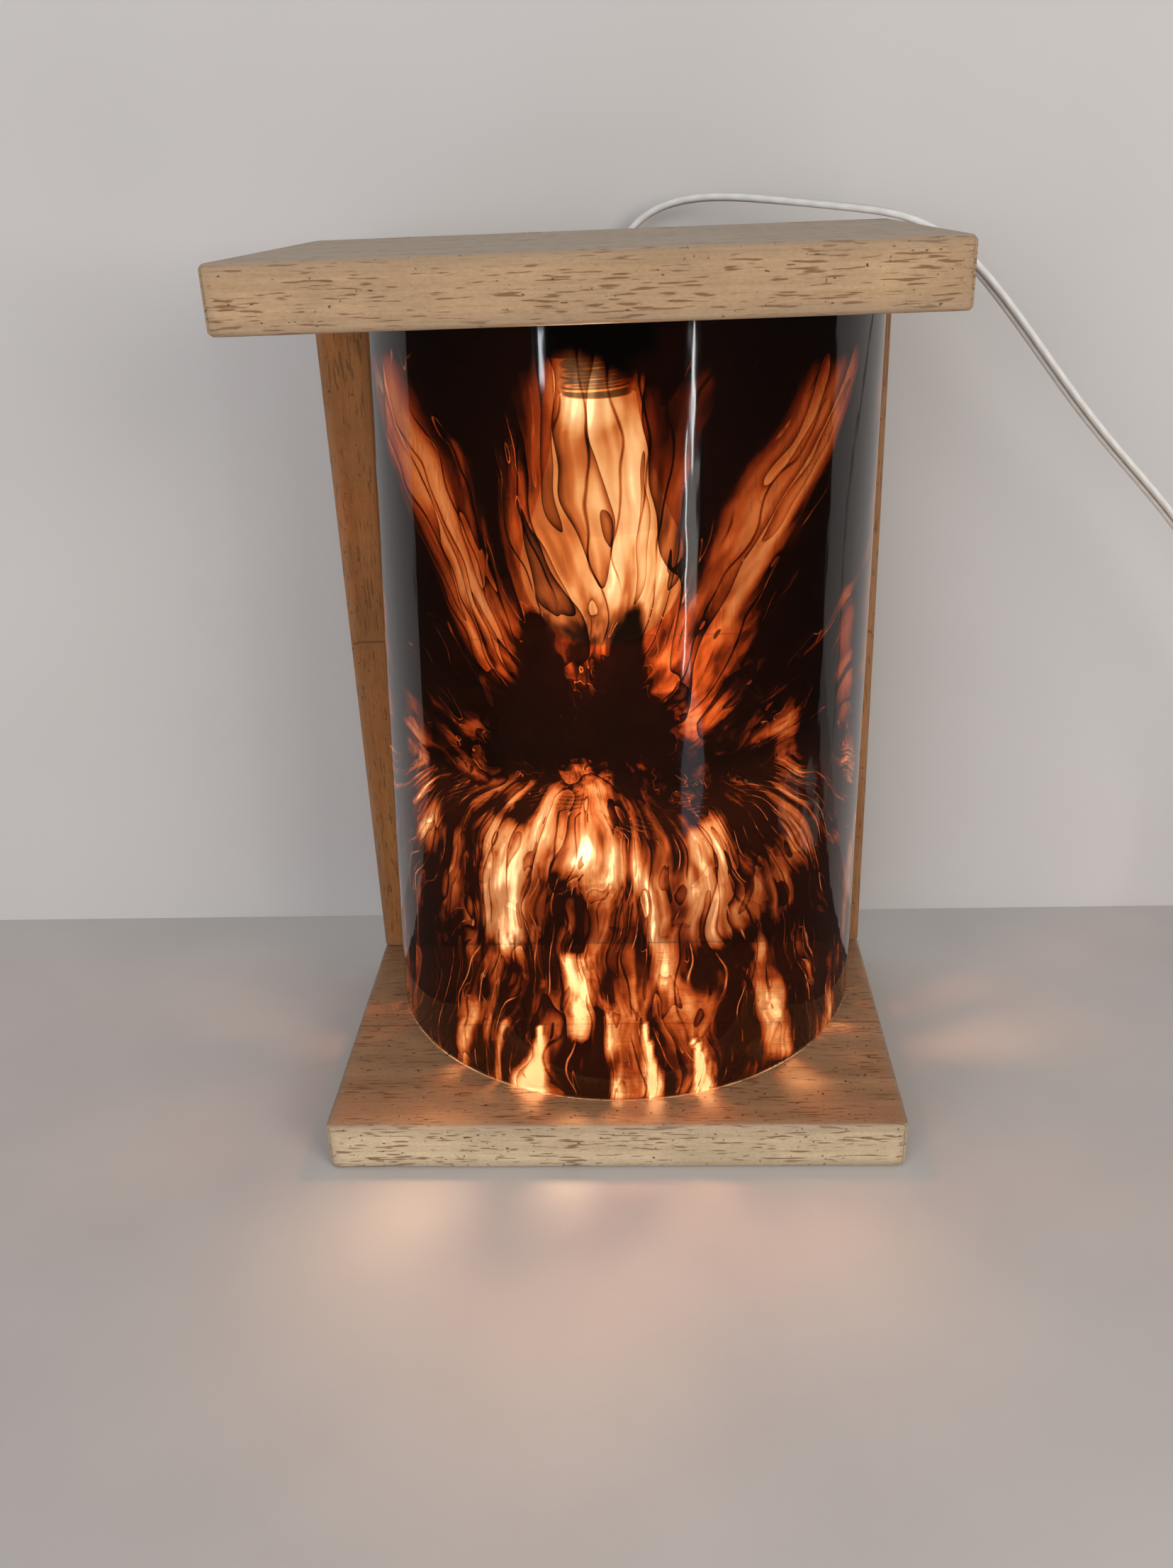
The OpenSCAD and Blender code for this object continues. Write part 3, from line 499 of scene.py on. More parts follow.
# One layer of streaks along the flow, spread from the middle above and falling below
def streaks(fineness, detail, twist):
    layer = []
    for way, curl in ((drawn, 0.25 * twist), (fallen, 0.6 * twist)):
        sockets = {"Vector": way, "Scale": fineness, "Detail": detail, "Roughness": 0.5, "Distortion": curl}
        layer.append(add(t, "TexNoise", sockets))
    return add(t, "Mix", {0: low, 2: layer[0], 3: layer[1]})


smoke = add(t, "TexNoise", {"Vector": sheet, "Scale": 1 / 24, "Detail": 4.0, "Roughness": 0.55})
depth = ink
for layer, above, below in (
    (streaks(0.9, 1.5, 0.3), 1.8, 2.8),
    (streaks(2.6, 2.0, 0.4), 1.1, 1.3),
    (streaks(8.0, 0.0, 0.2), 0.3, 0.3),
    (smoke, 0.5, 1.3),
):
    share = add(t, "Math SUBTRACT", (layer, 0.5))
    weight = add(t, "Mix", {0: low, 2: above, 3: below})
    depth = add(t, "Math MULTIPLY_ADD", (share, weight, depth))
# Folded veils: slow noises cut into steps, so that each veil fades to one side and ends in a thin dark edge
curls = add(t, "TexNoise", {"Vector": sheet, "Scale": 1 / 28, "Detail": 1.5, "Distortion": 2.0})
for layer, folds, above, below in (
    (streaks(0.8, 0.5, 0.8), (4.0, 3.4), 0.36, 0.34),
    (streaks(1.9, 0.5, 0.8), (2.8, 2.6), 0.3, 0.26),
    (curls, (3.0, 3.0), 0.0, 0.1),
):
    weight = add(t, "Mix", {0: low, 2: above, 3: below})
    fold = add(t, "Mix", {0: low, 2: folds[0], 3: folds[1]})
    fold = add(t, "Math MULTIPLY", (layer, fold))
    fold = add(t, "Math FRACT", (fold,))
    veil = add(t, "Math POWER", (fold, 3.0))
    edge = add(t, "Math POWER", (fold, 22.0))
    veil = add(t, "Math MULTIPLY_ADD", (edge, 0.8, veil))
    depth = add(t, "Math MULTIPLY_ADD", (veil, weight, depth))
# Dark hairlines that run along the flow from end to end, broken in places
ray = add(t, "SeparateXYZ", (drawn,))
ray = add(t, "Math ARCTAN2", (ray.outputs["X"], ray.outputs["Y"]))
ray = add(t, "Math MULTIPLY", (ray, 13.0))
drop = add(t, "SeparateXYZ", (fallen,)).outputs["X"]
drop = add(t, "Math MULTIPLY", (drop, 1.6))
line = add(t, "Mix", {0: low, 2: ray, 3: drop})
bend = add(t, "TexNoise", {"Vector": sheet, "Scale": 1 / 45, "Detail": 1.5})
line = add(t, "Math MULTIPLY_ADD", (bend, 3.0, line))
hair = add(t, "Math PINGPONG", (line, 0.5))
hair = add(t, "MapRange", (hair, 0.01, 0.07, 0.45, 0.0))
some = add(t, "MapRange", (streaks(1.3, 1.0, 0.0), 0.46, 0.54, 0.0, 1.0))
depth = add(t, "Math MULTIPLY_ADD", (hair, some, depth))
# Bright threads of clear resin that run through the pooled ink in places
thread = add(t, "Math SUBTRACT", (streaks(1.5, 2.0, 1.0), 0.46))
thread = add(t, "Math ABSOLUTE", (thread,))
thread = add(t, "MapRange", (thread, 0.0, 0.006, 0.8, 0.0))
gap = add(t, "Math ADD", (line, 0.5))
gap = add(t, "Math PINGPONG", (gap, 0.5))
gap = add(t, "MapRange", (gap, 0.0, 0.05, 1.0, 0.0))
gap = add(t, "Math MULTIPLY", (gap, low))
thread = add(t, "Math MAXIMUM", (thread, gap))
some = add(t, "MapRange", (smoke, 0.47, 0.55, 0.0, 1.0))
dark = add(t, "MapRange", (depth, 0.45, 0.8, 0.0, 1.0))
for mask in (some, dark):
    thread = add(t, "Math MULTIPLY", (thread, mask))
depth = add(t, "Math SUBTRACT", (depth, thread))
# Depth runs from clear resin at -0.5 over a thin, hazy film at 0 to pooled ink at 1
depth = add(t, "Math MULTIPLY_ADD", (depth, 1 / 1.5, 0.5 / 1.5))
most = add(t, "Mix", {0: low, 2: 1.0, 3: 0.94})
depth = add(t, "Math MINIMUM", (depth, most))
stops = [(0.0, "#FFEFE0"), (0.14, "#F1E3D0"), (0.26, "#B5A590"), (0.42, "#A38363"), (0.55, "#8C5835")]
stops += [(0.68, "#6C3B1F"), (0.8, "#45200F"), (0.91, "#200F08"), (1.0, "#0C0604")]
passed = add(t, "ValToRGB", {"Fac": depth}, stops=stops)
clear = add(t, "BsdfTransparent", {"Color": passed})
amber = add(t, "VectorMath MULTIPLY", (passed, (1.0, 0.87, 0.72)))
haze = add(t, "BsdfTranslucent", {"Color": amber})
stirred = add(t, "Mix", {0: low, 2: 0.05, 3: 0.15})
beaded = add(t, "Mix", {0: low, 2: 0.08, 3: 0.34})
milky = add(t, "MapRange", (depth, 0.02, 0.2, beaded, stirred))
clear = add(t, "MixShader", (milky, clear, haze))
drips = add(t, "VectorMath DIVIDE", (sheet, (9.0, 60.0, 1.0)))
drips = add(t, "TexNoise", {"Vector": drips, "Scale": 1.0, "Detail": 2.0})
ripple = add(t, "Bump", {"Strength": 0.14, "Distance": 0.0012, "Height": drips})
gloss = add(t, "BsdfAnisotropic", {"Color": (1, 1, 1, 1), "Roughness": 0.06, "Normal": ripple})
facing = add(t, "LayerWeight", {"Blend": 0.5})
grazing = add(t, "Math POWER", (facing.outputs["Facing"], 5.0))
mirror = add(t, "Math MULTIPLY_ADD", (grazing, 0.96, 0.04))
shader = add(t, "MixShader", (mirror, clear, gloss))
add(t, "OutputMaterial", {"Surface": shader})

# The mould's inner side: the same epoxy with no ink of its own, faintly uneven
plain, t = new_finish("cast epoxy resin, mould side")
place = add(t, "TexCoord").outputs["Object"]
faint = add(t, "TexNoise", {"Vector": place, "Scale": 1000 / 40, "Detail": 2.0})
tint = add(t, "ValToRGB", {"Fac": faint}, stops=[(0.3, "#FFFDF9"), (0.7, "#FFF9F0")])
clear = add(t, "BsdfTransparent", {"Color": tint})
add(t, "OutputMaterial", {"Surface": clear})

shell = put("inked_shell", bpy.data.meshes.new("inked_shell"))
grown(shell, shell_tree, {**shell_sizes, "Columns": 168, "Rows": 144, "Resin": inked})
# Vertices of the bent sheet, its arc and height in millimetres, and the fields that the ink follows
mesh = shell.data
field = np.empty(len(mesh.vertices) * 3, np.float32)
mesh.attributes["sheet"].data.foreach_get("vector", field)
s, h = field.reshape(-1, 3)[:, 0].astype(float), field.reshape(-1, 3)[:, 1].astype(float)
noise.seed_set(6)
drift = np.array([noise.noise_vector(Vector((a / 42, b / 60, 3.0))) for a, b in zip(s, h)])
tear = np.array([noise.noise_vector(Vector((a / 11, b / 26, 8.0))) for a, b in zip(s, h)])
tear *= np.maximum(np.clip((125 - h) / 40, 0, 1), np.clip((225 - h) / 90, 0.12, 0.45))[:, None]
ws, wh = s + 9 * drift[:, 0] + 3 * tear[:, 0], h + 9 * drift[:, 1] + 5 * tear[:, 1]
# Windows in the ink as tongues: arc and height of both ends, half widths at the ends, and how clear each is.
# A negative share is pooled ink. One tall window lies ahead of the bulb's neck, rays slant down to the
# middle, a fan opens below it and flames rise from the foot.
tongues = [
    (-9, 284, -9, 188, 14, 36, 0.97),
    (-99, 262, -38, 172, 13, 12, 0.89),
    (-58, 244, -32, 184, 4, 9, 0.45),
    (77, 264, 24, 162, 11, 13, 0.85),
    (50, 224, 24, 168, 7, 9, 0.5),
    (-12, 130, -13, 106, 13, 18, 1.35),
    (-12, 112, -12, 52, 50, 74, 0.58),
    (-42, 106, -48, 72, 10, 11, 1.4),
    (26, 110, 36, 76, 8, 10, 1.35),
    (0, 104, 22, 58, 6, 5, 1.15),
    (-88, 142, -80, 100, 10, 10, 0.95),
    (60, 142, 72, 96, 8, 13, 0.85),
    (100, 180, 107, 116, 7, 8, 0.75),
    (-10, 0, -10, 18, 70, 66, 0.5),
    (-72, 0, -62, 80, 4, 4, 1.05),
    (-50, 0, -46, 30, 3, 2, 1.3),
    (-37, 0, -34, 30, 6, 1, 2.1),
    (-19, 26, -17, 62, 5, 4.5, 2.0),
    (-4, 0, -7, 34, 5, 3, 1.15),
    (16, 0, 11, 36, 5, 1, 2.1),
    (37, 0, 32, 26, 6, 1, 2.1),
    (69, 10, 54, 60, 6, 7, 1.15),
    (-116, 216, -128, 120, 8, 14, 0.8),
    (-112, 0, -130, 84, 9, 6, 0.95),
    (122, 252, 136, 150, 9, 14, 0.8),
    (104, 0, 122, 88, 9, 6, 0.95),
    (150, 30, 152, 120, 6, 9, 0.75),
    (-150, 150, -154, 256, 6, 9, 0.75),
    (-40, 150, 32, 150, 24, 24, 0.2),
    (-8, 268, -8, 262, 13, 14, 1.5),
    (-110, 288, 110, 288, 12, 12, -1.5),
    (-31, 152, -28, 194, 13, 3, -0.95),
    (4, 156, 3, 190, 11, 3, -0.8),
    (-14, 174, -8, 144, 20, 26, -0.62),
]
pooled, falloff, eye_s, eye_h = 1.08, 0.7, -6, 122
ink = np.zeros(len(s))
for s0, h0, s1, h1, w0, w1, share in tongues:
    run = np.array((s1 - s0, h1 - h0), float)
    part = np.clip(((ws - s0) * run[0] + (wh - h0) * run[1]) / (run @ run), 0, 1)
    apart = np.hypot(ws - s0 - part * run[0], wh - h0 - part * run[1]) / (w0 + (w1 - w0) * part)
    soft = np.exp(-falloff * apart**3)
    ink = np.maximum(ink, share * soft) if share > 0 else ink + share * soft
ink = pooled - ink
# The glued foot shows as a thin amber line
ink += 0.3 * np.clip(2 - h, 0, 1)
# Flow lines spread from the middle of the shell, and below it they fan out and then fall upright
away = np.hypot(ws - eye_s, wh - eye_h)
turn = np.arctan2(ws - eye_s, wh - eye_h)
spread = 6.2 * np.tanh(away / 48)
flow = np.stack([spread * np.sin(turn), spread * np.cos(turn), 0.4 * np.log(away + 25)], axis=1)
fall = np.clip(130 - wh, 0, 200)
fan = np.stack([(ws - eye_s) / (5 + 9 * (1 - np.exp(-fall / 50))), wh / 95, 0 * ws], axis=1)
low = np.clip((142 - wh) / 26, 0, 1)
for name, value in (("flow", flow), ("fan", fan), ("ink", ink), ("low", low * low * (3 - 2 * low))):
    mark(mesh, name, value)
mesh.materials.append(plain)
thick = shell.modifiers.new("wall thickness", "SOLIDIFY")
thick.thickness = 0.005
thick.offset = -1
thick.material_offset = 1
thick.material_offset_rim = 1
settle(shell)
fitted(shell, "stand", "ink_resin", "resin_shell")


# Lampholder
# A moulded black body screwed up under the top board, with a brass sleeve that takes the bulb's cap, a brass
# centre strip and two brass terminals with clamp screws in the bay behind it.
def eased(node, name, finish, width, steps, slot, body="stand"):
    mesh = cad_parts[node].data.copy()
    work = bmesh.new()
    work.from_mesh(mesh)
    bmesh.ops.remove_doubles(work, verts=work.verts, dist=1e-6)
    bmesh.ops.dissolve_limit(work, angle_limit=math.radians(1), verts=work.verts, edges=work.edges)
    work.to_mesh(mesh)
    work.free()
    mesh.materials.clear()
    mesh.materials.append(finish)
    mesh.shade_smooth()
    mesh.set_sharp_from_angle(angle=math.radians(35))
    piece = put(name, mesh)
    bevel = piece.modifiers.new("eased edges", "BEVEL")
    bevel.width = width / 1000
    bevel.segments = steps
    bevel.limit_method = "ANGLE"
    bevel.angle_limit = math.radians(40)
    bevel.harden_normals = True
    return fitted(settle(piece), body, slot, node)


# A mixed moulding or metal: two close colours in fine patches, with roughness and bump from the same patches
def mottled(name, first, second, patch, rough, metallic=0.0, bump=0.1, extra={}):
    finish, t = new_finish(name)
    place = add(t, "TexCoord").outputs["Object"]
    spots = add(t, "TexNoise", {"Vector": place, "Scale": 1000 / patch, "Detail": 4.0, "Roughness": 0.6})
    skin = add(t, "TexNoise", {"Vector": place, "Scale": 1000 / 0.5, "Detail": 1.0})
    colour = add(t, "ValToRGB", {"Fac": spots}, stops=[(0.32, first), (0.68, second)])
    worn = add(t, "MapRange", (spots, 0.3, 0.7, rough - 0.06, rough + 0.08))
    grain = add(t, "Bump", {"Strength": bump, "Distance": 0.0001, "Height": skin})
    sockets = {"Base Color": colour, "Roughness": worn, "Normal": grain, "Metallic": metallic, **extra}
    shader = add(t, "BsdfPrincipled", sockets)
    add(t, "OutputMaterial", {"Surface": shader})
    return finish


# Phenolic, pressed hot in a polished die: deep brownish black with faint flour mottling and a soft shine
phenolic = mottled("black phenolic, hot pressed", "#0C0B0B", "#151312", 2.5, 0.34)
# Brass strip, rolled and stamped: warm yellow, slightly browned in patches
brass = mottled("brass strip, rolled and stamped", "#C9A45C", "#A98345", 3.0, 0.3, 1.0, 0.06)
eased("lampholder_body", "holder_moulding", phenolic, 0.5, 2, "black_plastic")
for node in ("lampholder_sleeve", "lampholder_contact", "lampholder_terminals"):
    eased(node, node.replace("lampholder", "brass"), brass, 0.12, 1, "brass")
pan_screw = [(1.2, 0), (2.3, 0), (2.5, 0.5), (2.5, 2), (1.5, 2.02), (1.45, 15), (1.4, 27.9), (0.2, 28)]
screw = cross_screw("pan_screw", pan_screw, 1.6, 0.6, 1.2)
places = [(x, 0, 291.0) for x in (-17.8, 17.8)]
holder_screws = screws_at("holder_screws", places, [(0, 0, 0)] * 2, screw, 9)
fitted(holder_screws, "stand", "zinc_steel", "lampholder_screws")
eased("terminal_screws", "clamp_screws", steel, 0.12, 1, "zinc_steel")

# Bulb
# A screw-cap bulb with light chips: a rolled metal cap with a black glass insulator and a soldered tip, a
# white flared housing around the driver, and a milky globe glued over the board of chips.

# Thin brass, rolled to a thread: warm yellow, with bright lines where the crests catch the light
cap_metal = mottled("brass cap, rolled thread", "#F4BE74", "#E0A055", 2.0, 0.2, 1.0, 0.05)
# Solder, set from a drop: dull silver grey, slightly frosted
solder = mottled("solder, set from a drop", "#B4B4B2", "#8F9092", 1.2, 0.42, 1.0, 0.1)
# Pressed glass: deep black with a hard, clear shine
glass = mottled("black glass, pressed", "#0F1012", "#191A1D", 2.0, 0.18, 0.0, 0.03)
# Polycarbonate, injection moulded: slightly warm white, with a painted warm glow that stands in for the
# bulb's light falling on it inside the shell
glow = {"Emission Color": linear("#FFD8AC"), "Emission Strength": 1.7}
housing_white_painted_glow = mottled("white polycarbonate, moulded", "#EFECE6", "#E4E0D8", 6.0, 0.42, 0.0, 0.12, glow)
pitch, root, crest = 3.63, 12.2, 13.2
cap_rim, cap_top = 275.85, 296.85
turns = [math.tau * i / 64 for i in range(64)]
rings = []
for z in np.linspace(cap_rim, cap_top - 0.6, 56):
    ends = min(1, max(0, (z - cap_rim - 1.2) / 2), max(0, (cap_top - 1.4 - z) / 2))
    wave = [0.5 + 0.5 * math.sin(math.tau * (z - cap_rim) / pitch - a) for a in turns]
    wide = [root + (crest - root) * ends * w for w in wave]
    rings.append([(r * math.cos(a), r * math.sin(a), z) for a, r in zip(turns, wide)])
for r, z in ((11.6, cap_top), (7.0, cap_top), (7.0, cap_top - 0.5), (11.5, cap_top - 0.5), (11.5, cap_rim)):
    rings.append([(r * math.cos(a), r * math.sin(a), z) for a in turns])
fitted(solid("threaded_cap", loft(rings, True), cap_metal, sharp=50), "bulb", "cap_metal", "bulb_cap")
dome = [(4.5, 299.9), (4.5, 300.6), (3.9, 301.1), (2.4, 301.35), (0.4, 301.4)]
fitted(solid("solder_tip", turned(dome, 40), solder), "bulb_contact_end", "cap_metal", "bulb_tip")
ring = [(7.6, 296.9), (8.0, 297.2), (7.2, 298.3), (6.1, 299.4), (5.5, 299.9)]
bead = solid("insulator_bead", turned(ring, 48), glass)
fitted(bead, "bulb_contact_end", "black_plastic", "bulb_insulator")
joint_z, joint_r, neck_r, flare, skin = 231.9, 25.38, 13.6, 1.35, 2
ledge_z, ledge_top = 234.6, 234.6 + 1.4
skirt = []
for i in range(25):
    share = i / 24
    skirt.append((neck_r + (joint_r - neck_r) * share**flare, cap_rim + (joint_z - cap_rim) * share))
inner = [(r - skin, z) for r, z in skirt]
ledge_r = neck_r + (joint_r - neck_r) * ((cap_rim - ledge_z) / (cap_rim - joint_z)) ** flare - skin
below = [p for p in inner if p[1] < ledge_z]
above = [p for p in inner if p[1] > ledge_top]
step = [(ledge_r, ledge_z), (ledge_r - 5, ledge_z), (ledge_r - 5, ledge_top), (ledge_r, ledge_top)]
housing = solid("flared_housing", turned(skirt + below[::-1] + step + above[::-1], 72, True), housing_white_painted_glow)
fitted(housing, "bulb", "white_plastic", "bulb_housing")

# Opal polycarbonate, blown: milky and lit from inside, a little brighter at its foot than near the joint
opal, t = new_finish("opal polycarbonate, blown and lit")
place = add(t, "TexCoord").outputs["Object"]
high = add(t, "SeparateXYZ", (place,)).outputs["Z"]
fade = add(t, "MapRange", (high, 0.186, 0.232, 0.0, 1.0))
milk = add(t, "TexNoise", {"Vector": place, "Scale": 1000 / 14, "Detail": 2.0})
fade = add(t, "Math MULTIPLY_ADD", (milk, 0.15, fade))
glow = add(t, "ValToRGB", {"Fac": fade}, stops=[(0.0, "#FFEACF"), (0.6, "#FFDFB9"), (1.0, "#FDD9AF")])
lit = {"Emission Color": glow, "Emission Strength": 2.0}
shader = add(t, "BsdfPrincipled", {"Base Color": linear("#F1E9DC"), "Roughness": 0.35, **lit})
add(t, "OutputMaterial", {"Surface": shader})
globe_z, globe_out, globe_in, mouth, pole = 215.9, 30.0, 28.5, 16, math.pi - 0.02
sweep = np.linspace(pole, math.acos(mouth / globe_out), 40)
outside = [(globe_out * math.sin(a), globe_z + globe_out * math.cos(a)) for a in sweep]
sweep = np.linspace(math.acos(mouth / globe_in), pole, 24)
inside = [(globe_in * math.sin(a), globe_z + globe_in * math.cos(a)) for a in sweep]
globe = solid("opal_globe", turned(outside + inside, 72), opal)
fitted(globe, "bulb", "opal_plastic", "bulb_globe")
# Solder mask, printed: flat white with a slight sheen
mask_white = mottled("white solder mask on aluminium", "#E6E6E2", "#D8D8D4", 5.0, 0.45)
# Phosphor in silicone, set from drops: egg yellow and rather dull
phosphor = mottled("yellow phosphor in silicone", "#E8C85A", "#D9B23F", 1.5, 0.4)
# Glass-fibre laminate, etched: dark green with an even, soft shine
laminate = mottled("green laminate, etched", "#2C5B3A", "#224A2F", 4.0, 0.4)
# The lit bulb's own pieces cast no shadow, because its light starts from a lamp at their middle
for piece in (globe, housing):
    piece.visible_shadow = False
for node, name, finish, slot in (
    ("light_board", "chip_plate", mask_white, "light_plate"),
    ("light_chips", "chip_row", phosphor, "light_chip"),
    ("driver_board", "driver_plate", laminate, "circuit_board"),
):
    piece = eased(node, name, finish, 0.15, 1, slot, "bulb")
    piece.visible_shadow = False

# Cord bush
# A black soft-vinyl strain relief pushed into the hole in the back board: a flange against the wood and a
# ribbed taper that keeps the cord from bending sharply where it leaves.

# Soft vinyl, moulded: black and dull, with a fine grain
vinyl_black = mottled("black soft vinyl, moulded", "#1A1A1B", "#262627", 3.0, 0.55, 0.0, 0.2)
bush = [(4.5, -14), (4.5, -0.02), (7.1, 0.0), (7.5, 0.4), (7.5, 1.5), (7.1, 2.0), (5.8, 2.0)]
for i in range(4):
    z = 2.6 + 1.35 * i
    r = 5.8 - 2.0 * (z - 2) / 8
    bush += [(r, z), (r - 0.5, z + 0.25), (r - 0.6, z + 0.75), (r - 0.25, z + 1.0)]
bush += [(3.9, 9.4), (3.6, 9.9), (3.2, 10.0)]
seat = Matrix.Translation((0, 0.075, cord_z / 1000)) @ Matrix.Rotation(-math.pi / 2, 4, "X")
fitted(solid("cord_relief", turned(bush, 56), vinyl_black, seat), "stand", "black_plastic", "cord_bush")


# Cord
# Flat twin lead of clear soft vinyl over two stranded cores, extruded as a figure of eight 5 mm wide. It
# comes from the terminals through the bush, rises behind the top board, lies over its rear corner and hangs
# down to the switch.
def smooth_route(points, steps):
    p = np.array(points, float)
    q = np.vstack([2 * p[0] - p[1], p, 2 * p[-1] - p[-2]])
    out = []
    for i in range(len(p) - 1):
        for j in range(steps):
            u = j / steps
            weights = ((1 - u) ** 3, 3 * u**3 - 6 * u**2 + 4, 3 * u + 3 * u**2 - 3 * u**3 + 1, u**3)
            out.append(sum(w * q[i + k] for k, w in enumerate(weights)) / 6)
    return np.array(out + [p[-1]])


lobe_r, lobe_x = 1.4, 1.1
groove = math.acos(-lobe_x / lobe_r)
lobe = [(lobe_x + lobe_r * math.cos(a), lobe_r * math.sin(a)) for a in np.linspace(-groove, groove, 12)]
eight = lobe + [(-x, -y) for x, y in lobe[1:-1]]


# Clear vinyl over copper: grey-white and glossy, with the two cores showing through as warm bands, and
# painted shade darkening the groove between them
cord_vinyl, t = new_finish("clear soft vinyl over copper strands, extruded")
across = add(t, "Attribute", attribute_name="across").outputs["Fac"]
lay = add(t, "Attribute", attribute_name="lay").outputs["Fac"]
# The darkest stops, where the lobes meet, paint shade into the groove
stops = [(0.0, "#77736E"), (0.14, "#A9A6A1"), (0.36, "#CFCBC4"), (0.5, "#C4B9AB"), (0.8, "#D9D8D4")]
core = add(t, "ValToRGB", {"Fac": across}, stops=[*stops, (1.0, "#E3E3E0")])
# The strands' twist shows about every 9 mm
twist = add(t, "Math MULTIPLY_ADD", (across, 5.0, lay))
twist = add(t, "Math SINE", (twist,))
tone = add(t, "MapRange", (twist, -1.0, 1.0, 0.95, 1.03))
core = add(t, "VectorMath MULTIPLY", (core, tone))
place = add(t, "TexCoord").outputs["Object"]
soil = add(t, "TexNoise", {"Vector": place, "Scale": 1000 / 25, "Detail": 3.0})
matt = add(t, "MapRange", (soil, 0.3, 0.7, 0.2, 0.36))
soft = {"Subsurface Weight": 0.25, "Subsurface Scale": 0.0015}
shader = add(t, "BsdfPrincipled", {"Base Color": core, "Roughness": matt, "IOR": 1.53, **soft})
add(t, "OutputMaterial", {"Surface": shader})


def twin_cord(name, route, first, last):
    route = np.array(route, float)
    spot = route[:, :3]
    ahead = np.zeros_like(spot)
    ahead[1:-1] = spot[2:] - spot[:-2]
    ahead[0], ahead[-1] = first, last
    ahead /= np.linalg.norm(ahead, axis=1, keepdims=True)
    side = np.cross(ahead, (0, 0, 1))
    side /= np.linalg.norm(side, axis=1, keepdims=True)
    up = np.cross(side, ahead)
    rings = []
    for p, sx, ux, roll in zip(spot, side, up, np.radians(route[:, 3])):
        c, n = math.cos(roll), math.sin(roll)
        rings.append([p + sx * (x * c - y * n) + ux * (x * n + y * c) for x, y in eight])
    piece = solid(name, loft(rings), cord_vinyl, sharp=75)
    gone = np.concatenate([[0], np.cumsum(np.linalg.norm(np.diff(spot, axis=0), axis=1))])
    wide = np.tile([abs(x) / 2.5 for x, _ in eight], len(spot))
    mark(piece.data, "across", wide)
    mark(piece.data, "lay", np.repeat(gone * math.tau / 9, len(eight)))
    return piece, spot / 1000


lead_route = [(0, y, cord_z, 0) for y in np.linspace(28, 85.5, 16)]
lead, _ = twin_cord("lead_through_bush", lead_route, (0, 1, 0), (0, 1, 0))
fitted(lead, "stand", "cord_vinyl", "cord_lead")

# The route in millimetres, with the roll of the flat cord about its own line in degrees
run_points = [
    (0, 85, 296.5, 0), (0, 96, 298, 0), (1.5, 105, 303.5, 0), (4.5, 110.5, 312.5, 0),
    (9.5, 112.5, 322.5, 0), (18, 111, 330, 0), (28.5, 107.5, 334, 5), (40, 102, 335.5, 10),
    (51.5, 96.5, 335.3, 10), (63, 90.5, 334.2, 10), (75, 84.5, 332.8, 5), (87, 78, 331.4, 0),
    (98, 72.5, 330, 0), (108, 67.5, 328.6, 0), (118, 63.5, 325.6, 10), (129, 61, 319.3, 30),
    (140, 59, 309.5, 45), (152, 58, 296, 50), (165, 58, 280, 50), (179, 58, 262.5, 50),
    (193, 59, 246.5, 50), (208, 60, 231, 50), (224, 62, 214.5, 50), (240, 66, 196, 50),
    (254, 70, 175, 40), (266, 75, 151, 30), (277, 80, 123, 20), (286, 83, 93, 10),
    (293, 84, 64, 0), (298, 80, 39, 0), (300, 70, 20, 0), (300, 57, 10.5, 0),
    (300, 46, 8, 0), (300, 36, 8, 0),
]
run_cord, run_path = twin_cord("cord_to_switch", smooth_route(run_points, 4), (0, 1, 0), (0, -1, 0))
fitted(run_cord, "stand", "cord_vinyl", "cord_run")

# From the switch the rest is wound into a coil of two layers, its wide side upright, and ends at the plug
coil_x, coil_y, coil_r, coil_pitch, coil_all = 335, -60, 35, 4.4, 1980
climb_from, climb_over, layer_z, layer_rise = 948, 84, 3.6, 5.6
coil = []
for a in np.arange(0, coil_all + 1, 7.5):
    r = coil_r - coil_pitch * min(a, coil_all - a) / 360
    share = min(1, max(0, (a - climb_from) / climb_over))
    z = layer_z + layer_rise * share * share * (3 - 2 * share)
    angle = math.radians(180 + a)
    coil.append((coil_x + r * math.cos(angle), coil_y + r * math.sin(angle), z, 90))
link_points = [(300, -16, 8, 0), (300, -28, 7.8, 20), (300, -36, 6.2, 50), (300, -44, 4.4, 80)]
link_points.append((300, -55, 3.6, 90))
tail_points = [(370, -55, 9.2, 90), (370, -46, 9, 80), (370, -38, 7.6, 50), (370, -30, 6.75, 0)]
plug_route = np.vstack([smooth_route(link_points, 4), coil, smooth_route(tail_points, 4)])
plug_cord, plug_path = twin_cord("cord_to_plug", plug_route, (0, -1, 0), (0, 1, 0))
fitted(plug_cord, "stand", "cord_vinyl", "cord_link", "cord_coil", "cord_tail")

# Coil tie
# A black hook-and-loop band 6 mm wide, laid once round all the turns at the coil's front and pressed shut.

